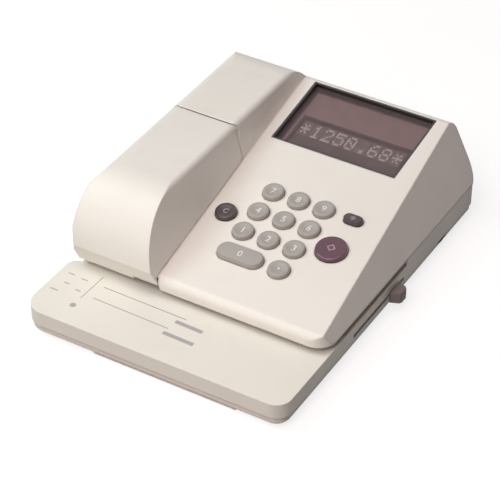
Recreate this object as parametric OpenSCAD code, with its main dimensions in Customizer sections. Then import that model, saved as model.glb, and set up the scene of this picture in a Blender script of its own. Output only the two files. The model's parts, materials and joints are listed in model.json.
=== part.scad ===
// Desk check writer: a flat table in front, a paper throat that runs under the housing,
// a sloping deck with fourteen keys and a display, and a raised printer housing on the left
// whose front cover swings up over a geared type wheel.
// Millimetres, +Z up. The origin is the middle of the bounding box, on the desk.
// Inside the modules x starts in the middle of the housing, y at its front face and z on the
// desk. place() moves that frame to the origin.

/* [Case] */
// Width of the housing, side to side
case_w = 190; // [180:1:240]
// Depth of the housing, front face to back
case_d = 219; // [215:1:270]
// Wall of the moulded cases
wall = 2.2; // [1.8:0.1:2.6]
// Rounding of the deck's back edge
back_r = 7; // [4:0.5:8]
// Rounding of the deck's front lip
lip_r = 6; // [3:0.5:8]
// Plan radius of the front right corner of the housing
corner_r = 14; // [8:1:20]
// Plan radius of the two back corners
rear_r = 8; // [4:1:12]

/* [Deck] */
// Height of the deck above the desk at its front
deck_z = 34.4; // [33:0.2:42]
// Slope of the deck in degrees
deck_a = 9.5; // [8:0.5:12]
// Lean of the right flank in degrees
flank_a = 26; // [10:1:30]

/* [Table and throat] */
// Reach of the table in front of the housing
table_d = 55; // [50:1:80]
// How far the table stands out past the housing on the left
table_over = 8; // [4:1:14]
// Height of the table's top above the desk
table_z = 20.6; // [20:0.2:24]
// Height of the paper throat
throat_h = 4.9; // [4.7:0.1:6]
// Depth of the paper throat behind the housing's front face
throat_d = 112; // [108:1:114]
// Plan radius of the table's front corners
table_r = 14; // [8:1:20]
// Thickness of the rubber feet below the case
foot_h = 3; // [2:0.5:4]
// Height of the joint between the pan and the table moulding
split_z = 9; // [8:0.5:10]

/* [Printer housing] */
// Width of the printer housing at the deck
ridge_w = 59; // [57:1:66]
// Height of the printer housing above the desk
ridge_top = 81.5; // [80:0.5:90]
// Lean of its right wall in degrees
ridge_a = 14; // [5:1:16]
// Radius of the brow over the front cover
brow_r = 48.5; // [20:0.5:50]
// Radius of the printer housing's back
ridge_back_r = 28; // [10:1:32]
// Where the opening cover ends
seam_y = 120; // [119:0.5:121]
// How far the cover's nose stands in front of the housing
nose_out = 4.1; // [1:0.1:6]
// How far the cover's left cheek stands out
cheek_out = 4; // [1:0.5:6]

/* [Keys] */
// Diameter of the round keys
key_d = 15; // [12:0.5:16]
// Key pitch across the deck
key_px = 19.6; // [18:0.2:20]
// Key pitch up the slope
key_py = 20.4; // [18:0.2:21]
// Diameter of the large print key
print_key_d = 22; // [16:0.5:22]
// Height of a key above the deck
key_up = 3.2; // [2.4:0.1:4]
// Key travel
key_travel = 2; // [1:0.1:2.2]
// Gap round a key in its hole
key_gap = 0.35; // [0.25:0.05:0.6]

/* [Display] */
// Width of the display opening
window_w = 97; // [80:1:98]
// Length of the display opening up the slope
window_l = 64; // [40:1:64]
// Depth of the tinted lens below the deck
lens_depth = 3.4; // [2:0.2:4]

/* [Printing works] */
// Radius over the type on the type wheel
wheel_r = 17.5; // [16:0.5:18]
// Width of the type wheel
wheel_t = 12; // [8:0.5:12]
// Radius of the ink roller
ink_r = 8; // [6:0.5:8]
// Radius of the paper feed roller
feed_r = 7; // [6.5:0.1:7]
// Radius of the pinch roller
pinch_r = 6; // [5:0.5:6]
// Radius of the shafts
shaft_r = 2.5; // [2:0.25:3]
// Running clearance of a shaft in its bearing
run_gap = 0.05; // [0.02:0.01:0.1]
// Gear module
gear_m = 1; // [1:0.05:1]
// Teeth of the motor pinion
pinion_n = 12; // [12:1:14]
// Teeth of the type wheel's gear
wheel_n = 36; // [34:1:36]
// Teeth of the idler gear
idler_n = 16; // [16:1:17]
// Teeth of the feed gear
feed_n = 14; // [13:1:14]

/* [Hidden] */
$fn = 64;

eps = 0.01;
xl = -case_w / 2;
xr = case_w / 2;
zs = table_z + throat_h;
stop_out = table_over;

// The case's corner where the nose, cheek and chin of the cover start.
nose_z = 40;
chin_in = 1.5;
cheek_z = 42;
face_a = 13;
left_a = 2;
ridge_ref_z = 45;
bay_gap = 0.5;
seam_gap = 0.4;

cream = [0.93, 0.91, 0.87];
warm = [0.90, 0.87, 0.82];
grey = [0.68, 0.66, 0.64];
dark = [0.24, 0.20, 0.20];
maroon = [0.35, 0.15, 0.20];
steel = [0.72, 0.73, 0.75];
board = [0.16, 0.38, 0.24];

// --- small geometry helpers ---

function unit(v) = v / norm(v);

function half_angle(a, b, c) = acos(unit(a - b) * unit(c - b)) / 2;

function bisector(a, b, c) = unit(unit(a - b) + unit(c - b));

function before(p, i) = p[(i + len(p) - 1) % len(p)];

function after(p, i) = p[(i + 1) % len(p)];

// A convex outline with every side moved in by t.
function inset(p, t) = [
  for (i = [0:len(p) - 1])
    let (a = before(p, i), b = p[i], c = after(p, i))
      b + bisector(a, b, c) * t / sin(half_angle(a, b, c))
];

function less(r, t) = [for (x = r) max(x - t, 0)];

// The points of one corner b, rounded to radius r in n steps.
function corner_arc(a, b, c, r, n) =
  r <= 0 ? [b] :
  let (
    h = half_angle(a, b, c),
    m = b + bisector(a, b, c) * r / sin(h),
    p1 = b + unit(a - b) * r / tan(h) - m,
    p2 = b + unit(c - b) * r / tan(h) - m,
    a1 = atan2(p1.y, p1.x),
    turn = (atan2(p2.y, p2.x) - a1 + 540) % 360 - 180
  )
  [for (k = [0:n]) m + r * [cos(a1 + turn * k / n), sin(a1 + turn * k / n)]];

// A convex outline with its corners rounded in short flats.
function rounded(p, r, n = 8) = [
  for (i = [0:len(p) - 1])
    each corner_arc(before(p, i), p[i], after(p, i), r[i], n)
];

// A convex outline with its corners rounded by true arcs.
module arc_poly(p, r) {
  difference() {
    polygon(p);
    for (i = [0:len(p) - 1])
      if (r[i] > 0)
        corner_bit(before(p, i), p[i], after(p, i), r[i]);
  }
}

module corner_bit(a, b, c, r) {
  h = half_angle(a, b, c);
  m = b + bisector(a, b, c) * r / sin(h);
  difference() {
    polygon([
      b + unit(a - b) * r / tan(h), b - bisector(a, b, c),
      b + unit(c - b) * r / tan(h), m
    ]);
    translate(m) circle(r = r);
  }
}

module block(lo, hi) translate(lo) cube(hi - lo);

// An outline in x and y, standing from z0 to z1.
module along_z(z0, z1) translate([0, 0, z0]) linear_extrude(z1 - z0) children();

// An outline in y and z, drawn out from x0 to x1.
module along_x(x0, x1) translate([x0, 0, 0]) rotate([90, 0, 90]) linear_extrude(x1 - x0) children();

// An outline in x and z, drawn out from y0 to y1.
module along_y(y0, y1) translate([0, y1, 0]) rotate([90, 0, 0]) linear_extrude(y1 - y0) children();

// A rod along z, y or x.
module rod_z(x, y, z0, z1, r) translate([x, y, z0]) cylinder(h = z1 - z0, r = r);

module rod_y(x, z, y0, y1, r) along_y(y0, y1) translate([x, z]) circle(r = r);

module rod_x(y, z, x0, x1, r) along_x(x0, x1) translate([y, z]) circle(r = r);

// From the modules' frame to the part's frame.
module place()
  translate([(table_over - stop_out) / 2, -(case_d - table_d) / 2, 0]) children();

// --- the outer forms ---

function rect(x0, y0, x1, y1) = [[x0, y0], [x1, y0], [x1, y1], [x0, y1]];

function deck_at(y) = deck_z + y * tan(deck_a);

// The left edge of the deck runs up beside the printer cover.
function ridge_x(z) = xl + ridge_w - (z - ridge_ref_z) * tan(ridge_a);

function flank_x(z) = xr - (z - zs) * tan(flank_a);

// An inner form (t > 0) runs out below the housing, so that the shell is open there.
function low(t) = t > 0 ? zs - 2 * t - 1 : zs;

function deck_side(t) = [
  [0, low(t)], [case_d, low(t)], [case_d, deck_at(case_d)], [0, deck_z]
];

sky = 110;

function deck_section(t, left) = [
  [ridge_x(low(t)) + left, low(t)], [flank_x(low(t)), low(t)],
  [flank_x(sky), sky], [ridge_x(sky) + left, sky]
];

// The deck housing, moved in by t.
module deck_form(t, left = bay_gap) intersection() {
  along_x(xl, xr + 20) arc_poly(inset(deck_side(t), t), less([0, 0, back_r, lip_r], t));
  along_y(-10, case_d + 10) polygon(inset(deck_section(t, left), t));
  along_z(0, sky) polygon(rounded(
    inset(rect(2 * xl, 0, xr, case_d), t), less([0, corner_r, rear_r, 0], t)
  ));
}

function chin_y(z) = chin_in - (z - zs) * (nose_out + chin_in) / (nose_z - zs);

function brow_y() = -nose_out + (ridge_top - nose_z) * tan(face_a);

function ridge_side(t) = [
  [chin_y(low(t)), low(t)], [case_d, low(t)], [case_d, ridge_top],
  [brow_y(), ridge_top], [-nose_out, nose_z]
];

function cheek_x(z) =
  z > cheek_z ? xl - cheek_out + (z - cheek_z) * tan(left_a)
  : xl - chin_in / 3 - (z - zs) * (cheek_out - chin_in / 3) / (cheek_z - zs);

function ridge_section(t) = [
  [cheek_x(low(t)), low(t)], [ridge_x(low(t)), low(t)], [ridge_x(ridge_top), ridge_top],
  [cheek_x(ridge_top), ridge_top], [cheek_x(cheek_z), cheek_z]
];

// The printer housing, moved in by t.
module ridge_form(t) intersection() {
  along_x(2 * xl, xr) arc_poly(inset(ridge_side(t), t), less([0, 0, ridge_back_r, brow_r, 0], t));
  along_y(-20, case_d + 10)
    polygon(rounded(inset(ridge_section(t), t), less([0, 0, 4, 10, 4], t)));
  along_z(0, sky) polygon(rounded(
    inset(rect(xl - cheek_out, -nose_out, xr, case_d), t), less([6, 0, 0, rear_r], t)
  ));
}

// Plan of the table moulding and of the case under the housing, moved in by t.
back_gap = 1;

module table_plan(t) {
  polygon(rounded(
    inset(rect(xl - table_over, -table_d, xr, 4), t), less([table_r, table_r - 3, 0, 8], t)
  ));
  polygon(rounded(
    inset(rect(xl - chin_in / 3, -table_d + 25, xr, case_d - back_gap), t),
    less([0, 0, rear_r, rear_r], t)
  ));
}

// --- where things stand ---

// The deck's own frame: x as the part's, y up the slope, z out of the deck.
module on_deck(x, s) translate([0, 0, deck_z]) rotate([deck_a, 0, 0]) translate([x, s, 0]) children();

// Back from the deck's frame to the modules' frame.
module off_deck() rotate([-deck_a, 0, 0]) translate([0, 0, -deck_z]) children();

screw_at = [
  [xl + 9, -17], [xr - 11, -17], [xl + 12, case_d - 66], [xr - 13, case_d - 66],
  [xl + 12, case_d - 16], [xr - 13, case_d - 16]
];
foot_at = [
  [xl + 11, -table_d + 14], [xr - 13, -table_d + 14],
  [xl + 14, case_d - 36], [xr - 15, case_d - 36]
];
roof_screw_at = [[xr - 17, 16], [xr - 17, 100], [xl + 71, 16], [xl + 71, 100]];
screw_r = 1.5;
head_r = 2.8;
boss_r = 4;

// Key columns and rows, counted from the top left digit key.
key_x = xr - 97.8;
key_s = 102.3;

function col(c) = key_x + c * key_px;

function row(r) = key_s - r * key_py;

// Batteries: two rows of two cells, end to end.
cell_r = 7.2;
cell_l = 50.2;
bay_x0 = xl + 47;
bay_l = 2 * cell_l + 4.6;
bay_x1 = bay_x0 + bay_l;
bay_y0 = -table_d + 4.8;
bay_y1 = bay_y0 + 4 * cell_r + 1.6;
bay_floor = 0.8;
bay_t = 1.5;
door_gap = 0.25;

// Printing works.
wheel_x = xl + 27;
wheel_z = zs + 1 + wheel_r;
print_y = 40;
gear_y0 = 125;
gear_y1 = 130;
plate_y = 121.5;
plate_t = 2;
motor_plate_y = 131.5;
frame_t = 1.5;
roof_t = 1.6;
frame_z = zs + roof_t;
frame_x0 = xl + 4;
frame_x1 = xl + 52;
frame_y0 = 20;
motor_up = 72;
feed_x = xl + 45;
feed_z = table_z - feed_r;
motor_r = 11.5;
motor_shaft_r = 1;

function turned(c, r, a) = c + r * [cos(a), sin(a)];

// Where two circles about a and b cross, on the side to the right of the way from a to b.
function cross_at(a, ra, b, rb) =
  let (
    d = norm(b - a),
    u = (b - a) / d,
    k = (ra * ra - rb * rb + d * d) / (2 * d),
    h = sqrt(ra * ra - k * k)
  )
  a + u * k + [-u.y, u.x] * h;

function reach(n1, n2) = gear_m * (n1 + n2) / 2 + gear_play;

gear_play = 0.1;
wheel_c = [wheel_x, wheel_z];
feed_c = [feed_x, feed_z];
motor_top = ridge_top - wall - 0.8;
motor_rise = min(1, (motor_top - motor_r - wheel_z) / reach(pinion_n, wheel_n));
// The motor leans back over the wheel, further where the housing is too low for it.
motor_dir = min(motor_up, asin(motor_rise));
motor_c = turned(wheel_c, reach(pinion_n, wheel_n), motor_dir);
idler_c = cross_at(wheel_c, reach(wheel_n, idler_n), feed_c, reach(idler_n, feed_n));

function heading(a, b) = atan2(b.y - a.y, b.x - a.x);

// The turn of a gear of nb teeth that meshes with one of na teeth turned by pa.
function mesh_turn(pa, na, nb, way) = way + 180 - (pa - way) * na / nb + 180 / nb;

wheel_turn = 0;
motor_turn = mesh_turn(wheel_turn, wheel_n, pinion_n, heading(wheel_c, motor_c));
idler_turn = mesh_turn(wheel_turn, wheel_n, idler_n, heading(wheel_c, idler_c));
feed_turn = mesh_turn(idler_turn, idler_n, feed_n, heading(idler_c, feed_c));

ink_gap = 0.3;
ink_c = turned(wheel_c, wheel_r + ink_r + ink_gap, 125);
pinch_c = [feed_x, zs + 0.4 + pinch_r];
pivot_c = [feed_x - 24, pinch_c.y + 1.6];
pinch_pin_r = 1.5;
roller_y0 = 60;
roller_y1 = 80;
hinge_y = 117.4;
hinge_z = ridge_top - 5.5;
hinge_r = 1.5;
hinge_cut = 6;
ear_r = 3;

// --- base ---

switch_y = 168;
switch_z0 = 4.6;
switch_z1 = 8.2;
post_y = [52, 116];
rib_y = [-8, 22, 146, 192];
rib_h = 2.4;
vent_x = xl + 88;
vent_y = 60;
vent_step = 7;
foot_r = 6.8;

module base_pan() color(warm) place() {
  floor_z = foot_h + wall;
  difference() {
    union() {
      difference() {
        union() {
          along_z(foot_h, split_z) table_plan(2.4);
          along_z(foot_h + 1.4, split_z) table_plan(1.2);
          along_z(split_z - 2, split_z + 2) table_plan(wall + 0.3);
        }
        along_z(floor_z, split_z + 3) table_plan(wall + 2.4);
      }
      block([bay_x0 - bay_t, bay_y0 - bay_t, bay_floor], [bay_x1 + bay_t, bay_y1 + bay_t, 13]);
      for (i = [0:5])
        rod_z(screw_at[i].x, screw_at[i].y, foot_h, i < 2 ? split_z : zs, boss_r);
      for (y = rib_y)
        block([xl + 6, y, foot_h], [xr - 6, y + 1.2, floor_z + rib_h]);
      for (y = post_y)
        block([feed_x - 6, y, foot_h], [feed_x + 6, y + 2, table_z - wall - 0.3]);
      for (x = board_post_x, y = board_post_y)
        rod_z(x, y, foot_h, board_z, 3);
    }
    block([bay_x0, bay_y0, bay_floor + 2], [bay_x1, bay_y1, 14]);
    block([bay_x0 + 2, bay_y0 + 2, -1], [bay_x1 - 2, bay_y1 - 2, bay_floor + 3]);
    block([bay_x0 + 1, bay_y0 + 1, -1], [bay_x1 - 1, bay_y1 - 1, bay_floor + 1.2]);
    for (p = screw_at) {
      rod_z(p.x, p.y, -1, zs + 1, screw_r + 0.2);
      rod_z(p.x, p.y, -1, foot_h + 1.8, head_r + 0.3);
    }
    for (p = foot_at)
      rod_z(p.x, p.y, -1, foot_h + 1, foot_r + 0.4);
    for (i = [0:6])
      block([vent_x + i * vent_step, vent_y, -1], [vent_x + i * vent_step + 2, vent_y + 26, floor_z + 1]);
    for (y = post_y)
      rod_y(feed_x, feed_z, y - 1, y + 3, bush_r + run_gap);
    block([xr - 12, switch_y - 6, switch_z0], [xr + 1, switch_y + 6, switch_z1]);
    for (x = board_post_x, y = board_post_y)
      rod_z(x, y, foot_h + 2, board_z + 1, 1.2);
  }
}

bush_r = 3.6;
board_z = split_z + 1;
board_post_x = [xl + 68, xr - 20];
board_post_y = [case_d - 88, case_d - 22];
board_rim = 4;
stop_y = 93;
stop_slot = [40, 105];
fence_x = xr - 21;
throat_wall = 2;

module table_cover() color(cream) place() {
  difference() {
    union() {
      difference() {
        union() {
          along_z(split_z, table_z) table_plan(0);
          intersection() {
            along_z(split_z, zs) table_plan(0);
            block([2 * xl, throat_d, 0], [2 * xr, 2 * case_d, zs]);
          }
        }
        intersection() {
          along_z(split_z - 1, table_z - wall) table_plan(wall);
          block([2 * xl, -2 * table_d, 0], [2 * xr, throat_d + throat_wall + eps, zs]);
        }
        intersection() {
          along_z(split_z - 1, zs + 1) table_plan(wall);
          block([2 * xl, throat_d + throat_wall, 0], [2 * xr, 2 * case_d, zs + 1]);
        }
      }
      for (i = [0, 1])
        rod_z(screw_at[i].x, screw_at[i].y, split_z, table_z - wall + eps, boss_r);
    }
    for (i = [0, 1])
      rod_z(screw_at[i].x, screw_at[i].y, split_z - 1, table_z - wall, screw_r);
    block([wheel_x - anvil_w / 2 - 0.5, print_y - anvil_l / 2 - 0.5, table_z - wall - 1],
          [wheel_x + anvil_w / 2 + 0.5, print_y + anvil_l / 2 + 0.5, zs]);
    block([feed_x - 6.5, roller_y0 - 1, table_z - wall - 1], [feed_x + 6.5, roller_y1 + 1, zs]);
    block([fence_x - 2, stop_slot[0], table_z - wall - 1], [fence_x + 2, stop_slot[1], zs]);
    block([xr - wall - 1, stop_slot[0] - 3, slide_z0 - slide_gap],
          [xr + 1, stop_slot[1] + 3, slide_z1 + slide_gap]);
    rod_y(jack_x, jack_z, case_d - back_gap - wall - 1, case_d + 1, 3.6);
  }
}

module battery_door() color(warm) place() {
  g = 1 + door_gap;
  ym = (bay_y0 + bay_y1) / 2;
  difference() {
    union() {
      block([bay_x0 + g, bay_y0 + g, bay_floor], [bay_x1 - g, bay_y1 - g, bay_floor + 1.1]);
      for (x = [bay_x0 + 20, bay_x1 - 22])
        block([x, bay_y0 + 12, bay_floor + 1], [x + 2, bay_y1 - 12, bay_floor + 1.6]);
    }
    rod_z(bay_x1 - 16, ym, bay_floor - 1, bay_floor + 0.4, 7);
    for (i = [0:4])
      block([bay_x0 + 8 + 3 * i, ym - 7, bay_floor - 1], [bay_x0 + 9 + 3 * i, ym + 7, bay_floor + 0.3]);
  }
}

function cell_rows() = [bay_y0 + cell_r + 0.4, bay_y1 - cell_r - 0.4];

cell_z = bay_floor + 2.2 + cell_r;

module cell(x, y, flip) {
  nub = 1.4;
  z = cell_z;
  rod_x(y, z, x + (flip ? nub : 0), x + cell_l - (flip ? 0 : nub), cell_r);
  rod_x(y, z, flip ? x : x + cell_l - nub, flip ? x + nub : x + cell_l, 2.7);
}

module battery_cells() color(dark) place() {
  for (i = [0, 1], j = [0, 1])
    cell(bay_x0 + 2.2 + i * (cell_l + 0.2), cell_rows()[j], j == 1);
}

module battery_contacts() color(steel) place() {
  for (i = [0, 1], j = [0, 1]) {
    x = i == 0 ? bay_x0 : bay_x1 - 0.5;
    y = cell_rows()[j];
    block([x, y - 5, bay_floor + 3], [x + 0.5, y + 5, bay_floor + 15]);
    rod_x(y, cell_z, i == 0 ? x + 0.5 : x - 1.4, i == 0 ? x + 1.9 : x, 3);
  }
}

module rubber_feet() color(dark) place() {
  for (p = foot_at)
    difference() {
      rod_z(p.x, p.y, 0, foot_h + 0.9, foot_r);
      difference() {
        rod_z(p.x, p.y, -1, 0.5, foot_r - 2);
        rod_z(p.x, p.y, -1, 1, foot_r - 3);
      }
    }
}

module case_screws() color(steel) place() {
  for (i = [0:5]) {
    p = screw_at[i];
    top = i < 2 ? table_z - wall - 1 : zs + 9;
    rod_z(p.x, p.y, foot_h + 0.2, foot_h + 1.8, head_r);
    rod_z(p.x, p.y, foot_h + 1.7, top, screw_r - run_gap);
  }
}

// --- housing ---

module upper_bosses() {
  intersection() {
    union() {
      for (p = roof_screw_at)
        rod_z(p.x, p.y, frame_z, sky, boss_r - 0.5);
      for (i = [2:5])
        rod_z(screw_at[i].x, screw_at[i].y, zs, sky, boss_r);
    }
    union() {
      deck_form(0, -6);
      ridge_back(0);
    }
  }
}

module ridge_back(t) intersection() {
  ridge_form(t);
  block([2 * xl, seam_y + seam_gap, 0], [0, 2 * case_d, sky]);
}

module keypad_bosses() {
  for (x = board_holes_x, s = board_holes_s)
    on_deck(x, s) translate([0, 0, -pcb_top]) cylinder(h = pcb_top - wall / 2, r = 2.6);
}

module upper_case() color(cream) place() {
  difference() {
    union() {
      difference() {
        union() {
          deck_form(0);
          ridge_back(0);
          intersection() {
            deck_form(0, -6);
            block([2 * xl, seam_y + seam_gap, 0], [2 * xr, 2 * case_d, sky]);
          }
        }
        deck_form(wall);
        intersection() {
          ridge_form(wall);
          block([2 * xl, 0, 0], [0, 2 * case_d, sky]);
        }
      }
      upper_bosses();
      keypad_bosses();
    }
    along_z(zs - 1, frame_z) roof_plan(0.3);
    window_hole(0);
    key_holes();
    rod_x(hinge_y, hinge_z, 2 * xl, ridge_x(hinge_z) + 3, hinge_cut);
    for (p = roof_screw_at)
      rod_z(p.x, p.y, 0, frame_z + 5, screw_r);
    for (i = [2:5])
      rod_z(screw_at[i].x, screw_at[i].y, 0, zs + 10, screw_r);
    for (x = board_holes_x, s = board_holes_s)
      on_deck(x, s) translate([0, 0, -pcb_top - 1]) cylinder(h = 5, r = 1);
  }
}

module roof_plan(grow) polygon(rounded(
  inset(rect(xl + 3.4, 4.6, xr - wall - 1.4, throat_d + throat_wall), -grow), [4, corner_r - 4, 0, 0]
));

module throat_roof() color(steel) place() {
  difference() {
    along_z(zs, frame_z) roof_plan(0);
    block([wheel_x - 10, print_y - 8, zs - 1], [wheel_x + 10, print_y + 8, frame_z + 1]);
    pinch_window(zs - 1, frame_z + 1);
    for (p = roof_screw_at) {
      rod_z(p.x, p.y, zs - 1, frame_z + 1, screw_r + 0.2);
      rod_z(p.x, p.y, zs - 1, zs + 0.9, head_r + 0.2);
    }
  }
}

module pinch_window(z0, z1)
  block([feed_x - 17, roller_y0 - 3.5, z0], [feed_x + 8, roller_y1 + 3.5, z1]);

cover_ears = [xl + 4.7, xl + 40.8];
frame_ears = [xl + 9, xl + 37];
ear_t = 3;

module printer_cover() color(cream) place() {
  difference() {
    union() {
      difference() {
        intersection() {
          ridge_form(0);
          union() {
            block([2 * xl, -2 * nose_out, zs + 0.3], [0, seam_y - 0.1, hinge_z + 3]);
            block([2 * xl, -2 * nose_out, zs + 0.3], [0, hinge_y, sky]);
            rod_x(hinge_y, hinge_z + 3, 2 * xl, 0, 2.5);
          }
        }
        ridge_form(wall);
        along_x(xl + ridge_w - 16, 0)
          polygon([[0.6, 0], [seam_y + 1, 0], [seam_y + 1, deck_at(seam_y + 1) + 0.4],
                   [0.6, deck_at(0.6) + 0.4]]);
      }
      for (x = cover_ears)
        along_x(x, x + ear_t) ear_shape();
    }
    rod_x(hinge_y, hinge_z, cover_ears[0] - 1, cover_ears[1] + ear_t + 1, hinge_r + run_gap);
  }
}

module ear_shape() {
  translate([hinge_y, hinge_z]) circle(r = ear_r);
  polygon([
    [hinge_y - ear_r, hinge_z], [hinge_y + ear_r * 0.8, hinge_z],
    [hinge_y + 2, ridge_top - wall + 0.1], [hinge_y - 12, ridge_top - wall + 0.1]
  ]);
}

module cover_hinge_pin() color(steel) place()
  rod_x(hinge_y, hinge_z, cover_ears[0] - 0.7, cover_ears[1] + ear_t + 0.7, hinge_r);

// --- display ---

window_x0 = xr - 127.5;
window_s0 = 150.4;
bezel_gap = 0.15;
bezel_t = 1.5;
ledge = 2.5;

module window_hole(g) on_deck(window_x0 + g, window_s0 + g)
  block([0, 0, -12], [window_w - 2 * g, window_l - 2 * g, 20]);

module display_bezel() color(dark) place() {
  w = window_w;
  l = window_l;
  on_deck(window_x0, window_s0)
    difference() {
      union() {
        block([bezel_gap, bezel_gap, -backing], [w - bezel_gap, l - bezel_gap, -0.2]);
        block([-2, -2, -backing], [w + 2, l + 1, -wall - 0.3]);
      }
      block([bezel_t, bezel_t, -lens_depth - 1.6], [w - bezel_t, l - bezel_t, 1]);
      block([bezel_t + ledge, bezel_t + ledge, -10], [w - bezel_t - ledge, l - bezel_t - ledge, 1]);
    }
}

module display_lens() color([0.45, 0.38, 0.38, 0.6]) place()
  on_deck(window_x0, window_s0)
    block([bezel_t + 0.1, bezel_t + 0.1, -lens_depth - 1.6],
          [window_w - bezel_t - 0.1, window_l - bezel_t - 0.1, -lens_depth]);

lcd_w = 86;
lcd_l = 30;
lcd_x = (window_w - lcd_w) / 2 + 1;
lcd_s = 5.5;
lcd_rim = 1.6;
backing = lens_depth + 3;
lcd_deep = backing + 2;

module lcd_panel() color([0.55, 0.58, 0.55]) place()
  on_deck(window_x0 + lcd_x, window_s0 + lcd_s)
    block([0, 0, -lcd_deep - 2.2], [lcd_w, lcd_l, -lcd_deep]);

module lcd_surround() color(dark) place()
  on_deck(window_x0 + lcd_x, window_s0 + lcd_s)
    difference() {
      block([0, 0, -lcd_deep], [lcd_w, lcd_l, -backing + 0.3]);
      block([lcd_rim, lcd_rim, -lcd_deep - 1], [lcd_w - lcd_rim, lcd_l - lcd_rim, 0]);
    }

module lcd_frame() color(dark) place()
  on_deck(window_x0, window_s0)
    difference() {
      block([2, 2, -lcd_deep - 3.6], [window_w - 2, window_l - 2, -backing]);
      block([lcd_x - 0.15, lcd_s - 0.15, -lcd_deep - 2.2],
            [lcd_x + lcd_w + 0.15, lcd_s + lcd_l + 0.15, 0]);
      block([lcd_x + 8, lcd_s + 5, -20], [lcd_x + lcd_w - 8, lcd_s + lcd_l - 5, -10]);
    }

// --- keypad ---

flange_top = wall + 0.3;
flange_t = 1.4;
stem_end = 6.2;
mat_t = 1;
pcb_t = 1.6;
pcb_top = stem_end + key_travel + 0.3;
board_holes_x = [col(-1) - 1, col(4) - 6];
board_holes_s = [row(3) - 6, row(0) + 6];
pill_l = 34;
mode_w = 14;
mode_l = 8;
row_mid = key_s - 30.3;
small_x = xr - 36.3;

// A bar with round ends, w long and l across.
module pill(w, l, h) linear_extrude(h) {
  translate([-(w - l) / 2, -l / 2]) square([w - l, l]);
  for (side = [-1, 1])
    translate([side * (w - l) / 2, 0]) circle(d = l);
}

module key_holes() {
  g = 2 * key_gap;
  for (c = [0:2], r = [0:2])
    on_deck(col(c), row(r)) translate([0, 0, -8]) cylinder(h = 20, d = key_d + g);
  on_deck(col(2), row(3)) translate([0, 0, -8]) cylinder(h = 20, d = key_d + g);
  on_deck(col(-1), row_mid) translate([0, 0, -8]) cylinder(h = 20, d = key_d + g);
  on_deck(small_x, row_mid) translate([0, 0, -8]) cylinder(h = 20, d = print_key_d + g);
  on_deck(small_x, row(0)) translate([0, 0, -8]) pill(mode_w + g, mode_l + g, 20);
  on_deck(col(0.5), row(3)) translate([0, 0, -8]) pill(pill_l + g, key_d - 0.5 + g, 20);
}

// A round key: a cap with a shallow dish, its flange under the deck and its stem.
module round_key(d, dish = true) {
  difference() {
    rotate_extrude() arc_cap(d / 2);
    if (dish)
      translate([0, 0, key_up + 16.2]) sphere(r = 17, $fn = 64);
  }
  translate([0, 0, -flange_top - flange_t]) cylinder(h = flange_t, d = d + 2);
  translate([0, 0, -stem_end]) cylinder(h = stem_end - flange_top, d = 5.6);
}

// Half the outline of a key's cap, with a rounded rim.
module arc_cap(r) {
  rim = 1.2;
  difference() {
    translate([0, -flange_top - 0.1]) square([r, key_up + flange_top + 0.1]);
    translate([r - rim, key_up - rim]) difference() {
      square([rim + 1, rim + 1]);
      circle(r = rim);
    }
  }
}

module bar_key(w, l) {
  translate([0, 0, -flange_top - 0.1]) pill(w, l, key_up + flange_top - 0.7);
  translate([0, 0, key_up - 0.9]) pill(w - 1.2, l - 1.2, 0.9);
  translate([0, 0, -flange_top - flange_t]) pill(w + 2, l + 2, flange_t);
  for (x = w > 20 ? [-w / 4, w / 4] : [0])
    translate([x, 0, -stem_end]) cylinder(h = stem_end - flange_top, d = 5.6);
}

module digit(c, r) color(grey) place() on_deck(col(c), row(r)) round_key(key_d);

module key_7() digit(0, 0);
module key_8() digit(1, 0);
module key_9() digit(2, 0);
module key_4() digit(0, 1);
module key_5() digit(1, 1);
module key_6() digit(2, 1);
module key_1() digit(0, 2);
module key_2() digit(1, 2);
module key_3() digit(2, 2);
module key_point() digit(2, 3);
module key_0() color(grey) place() on_deck(col(0.5), row(3)) bar_key(pill_l, key_d - 0.5);
module key_clear() color(dark) place() on_deck(col(-1), row_mid) round_key(key_d);
module key_mode() color(dark) place() on_deck(small_x, row(0)) bar_key(mode_w, mode_l);
module key_print() color(maroon) place() on_deck(small_x, row_mid) round_key(print_key_d, false);

// Where a stem comes down: column position, row position.
stem_at = concat(
  [for (c = [0:2], r = [0:2]) [col(c), row(r)]],
  [[col(2), row(3)], [col(-1), row_mid], [small_x, row_mid], [small_x, row(0)],
   [col(0.5) - pill_l / 4, row(3)], [col(0.5) + pill_l / 4, row(3)]]
);

module pad_plan(grow) translate([board_holes_x[0] - 5 - grow, board_holes_s[0] - 5 - grow])
  square([board_holes_x[1] - board_holes_x[0] + 10 + 2 * grow,
          board_holes_s[1] - board_holes_s[0] + 10 + 2 * grow]);

module key_mat() color([0.75, 0.74, 0.70]) place() on_deck(0, 0) {
  difference() {
    union() {
      translate([0, 0, -pcb_top]) linear_extrude(mat_t) pad_plan(-1);
      for (p = stem_at)
        translate([p.x, p.y, -pcb_top]) cylinder(h = mat_t + 0.7, d = 9.6);
    }
    for (p = stem_at)
      translate([p.x, p.y, -pcb_top - 1]) cylinder(h = 5, d = 7);
    for (x = board_holes_x, s = board_holes_s)
      translate([x, s, -pcb_top - 1]) cylinder(h = 5, d = 5.8);
    off_deck() roof_boss_holes();
  }
}

module keypad_board() color(board) place() on_deck(0, 0)
  difference() {
    translate([0, 0, -pcb_top - pcb_t]) linear_extrude(pcb_t) pad_plan(0);
    for (x = board_holes_x, s = board_holes_s)
      translate([x, s, -pcb_top - pcb_t - 1]) cylinder(h = 5, r = 1.2);
    off_deck() roof_boss_holes();
  }

// Room for the case's bosses where they pass the keypad.
module roof_boss_holes() {
  for (p = roof_screw_at)
    rod_z(p.x, p.y, zs, sky, boss_r + 0.2);
}

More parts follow.
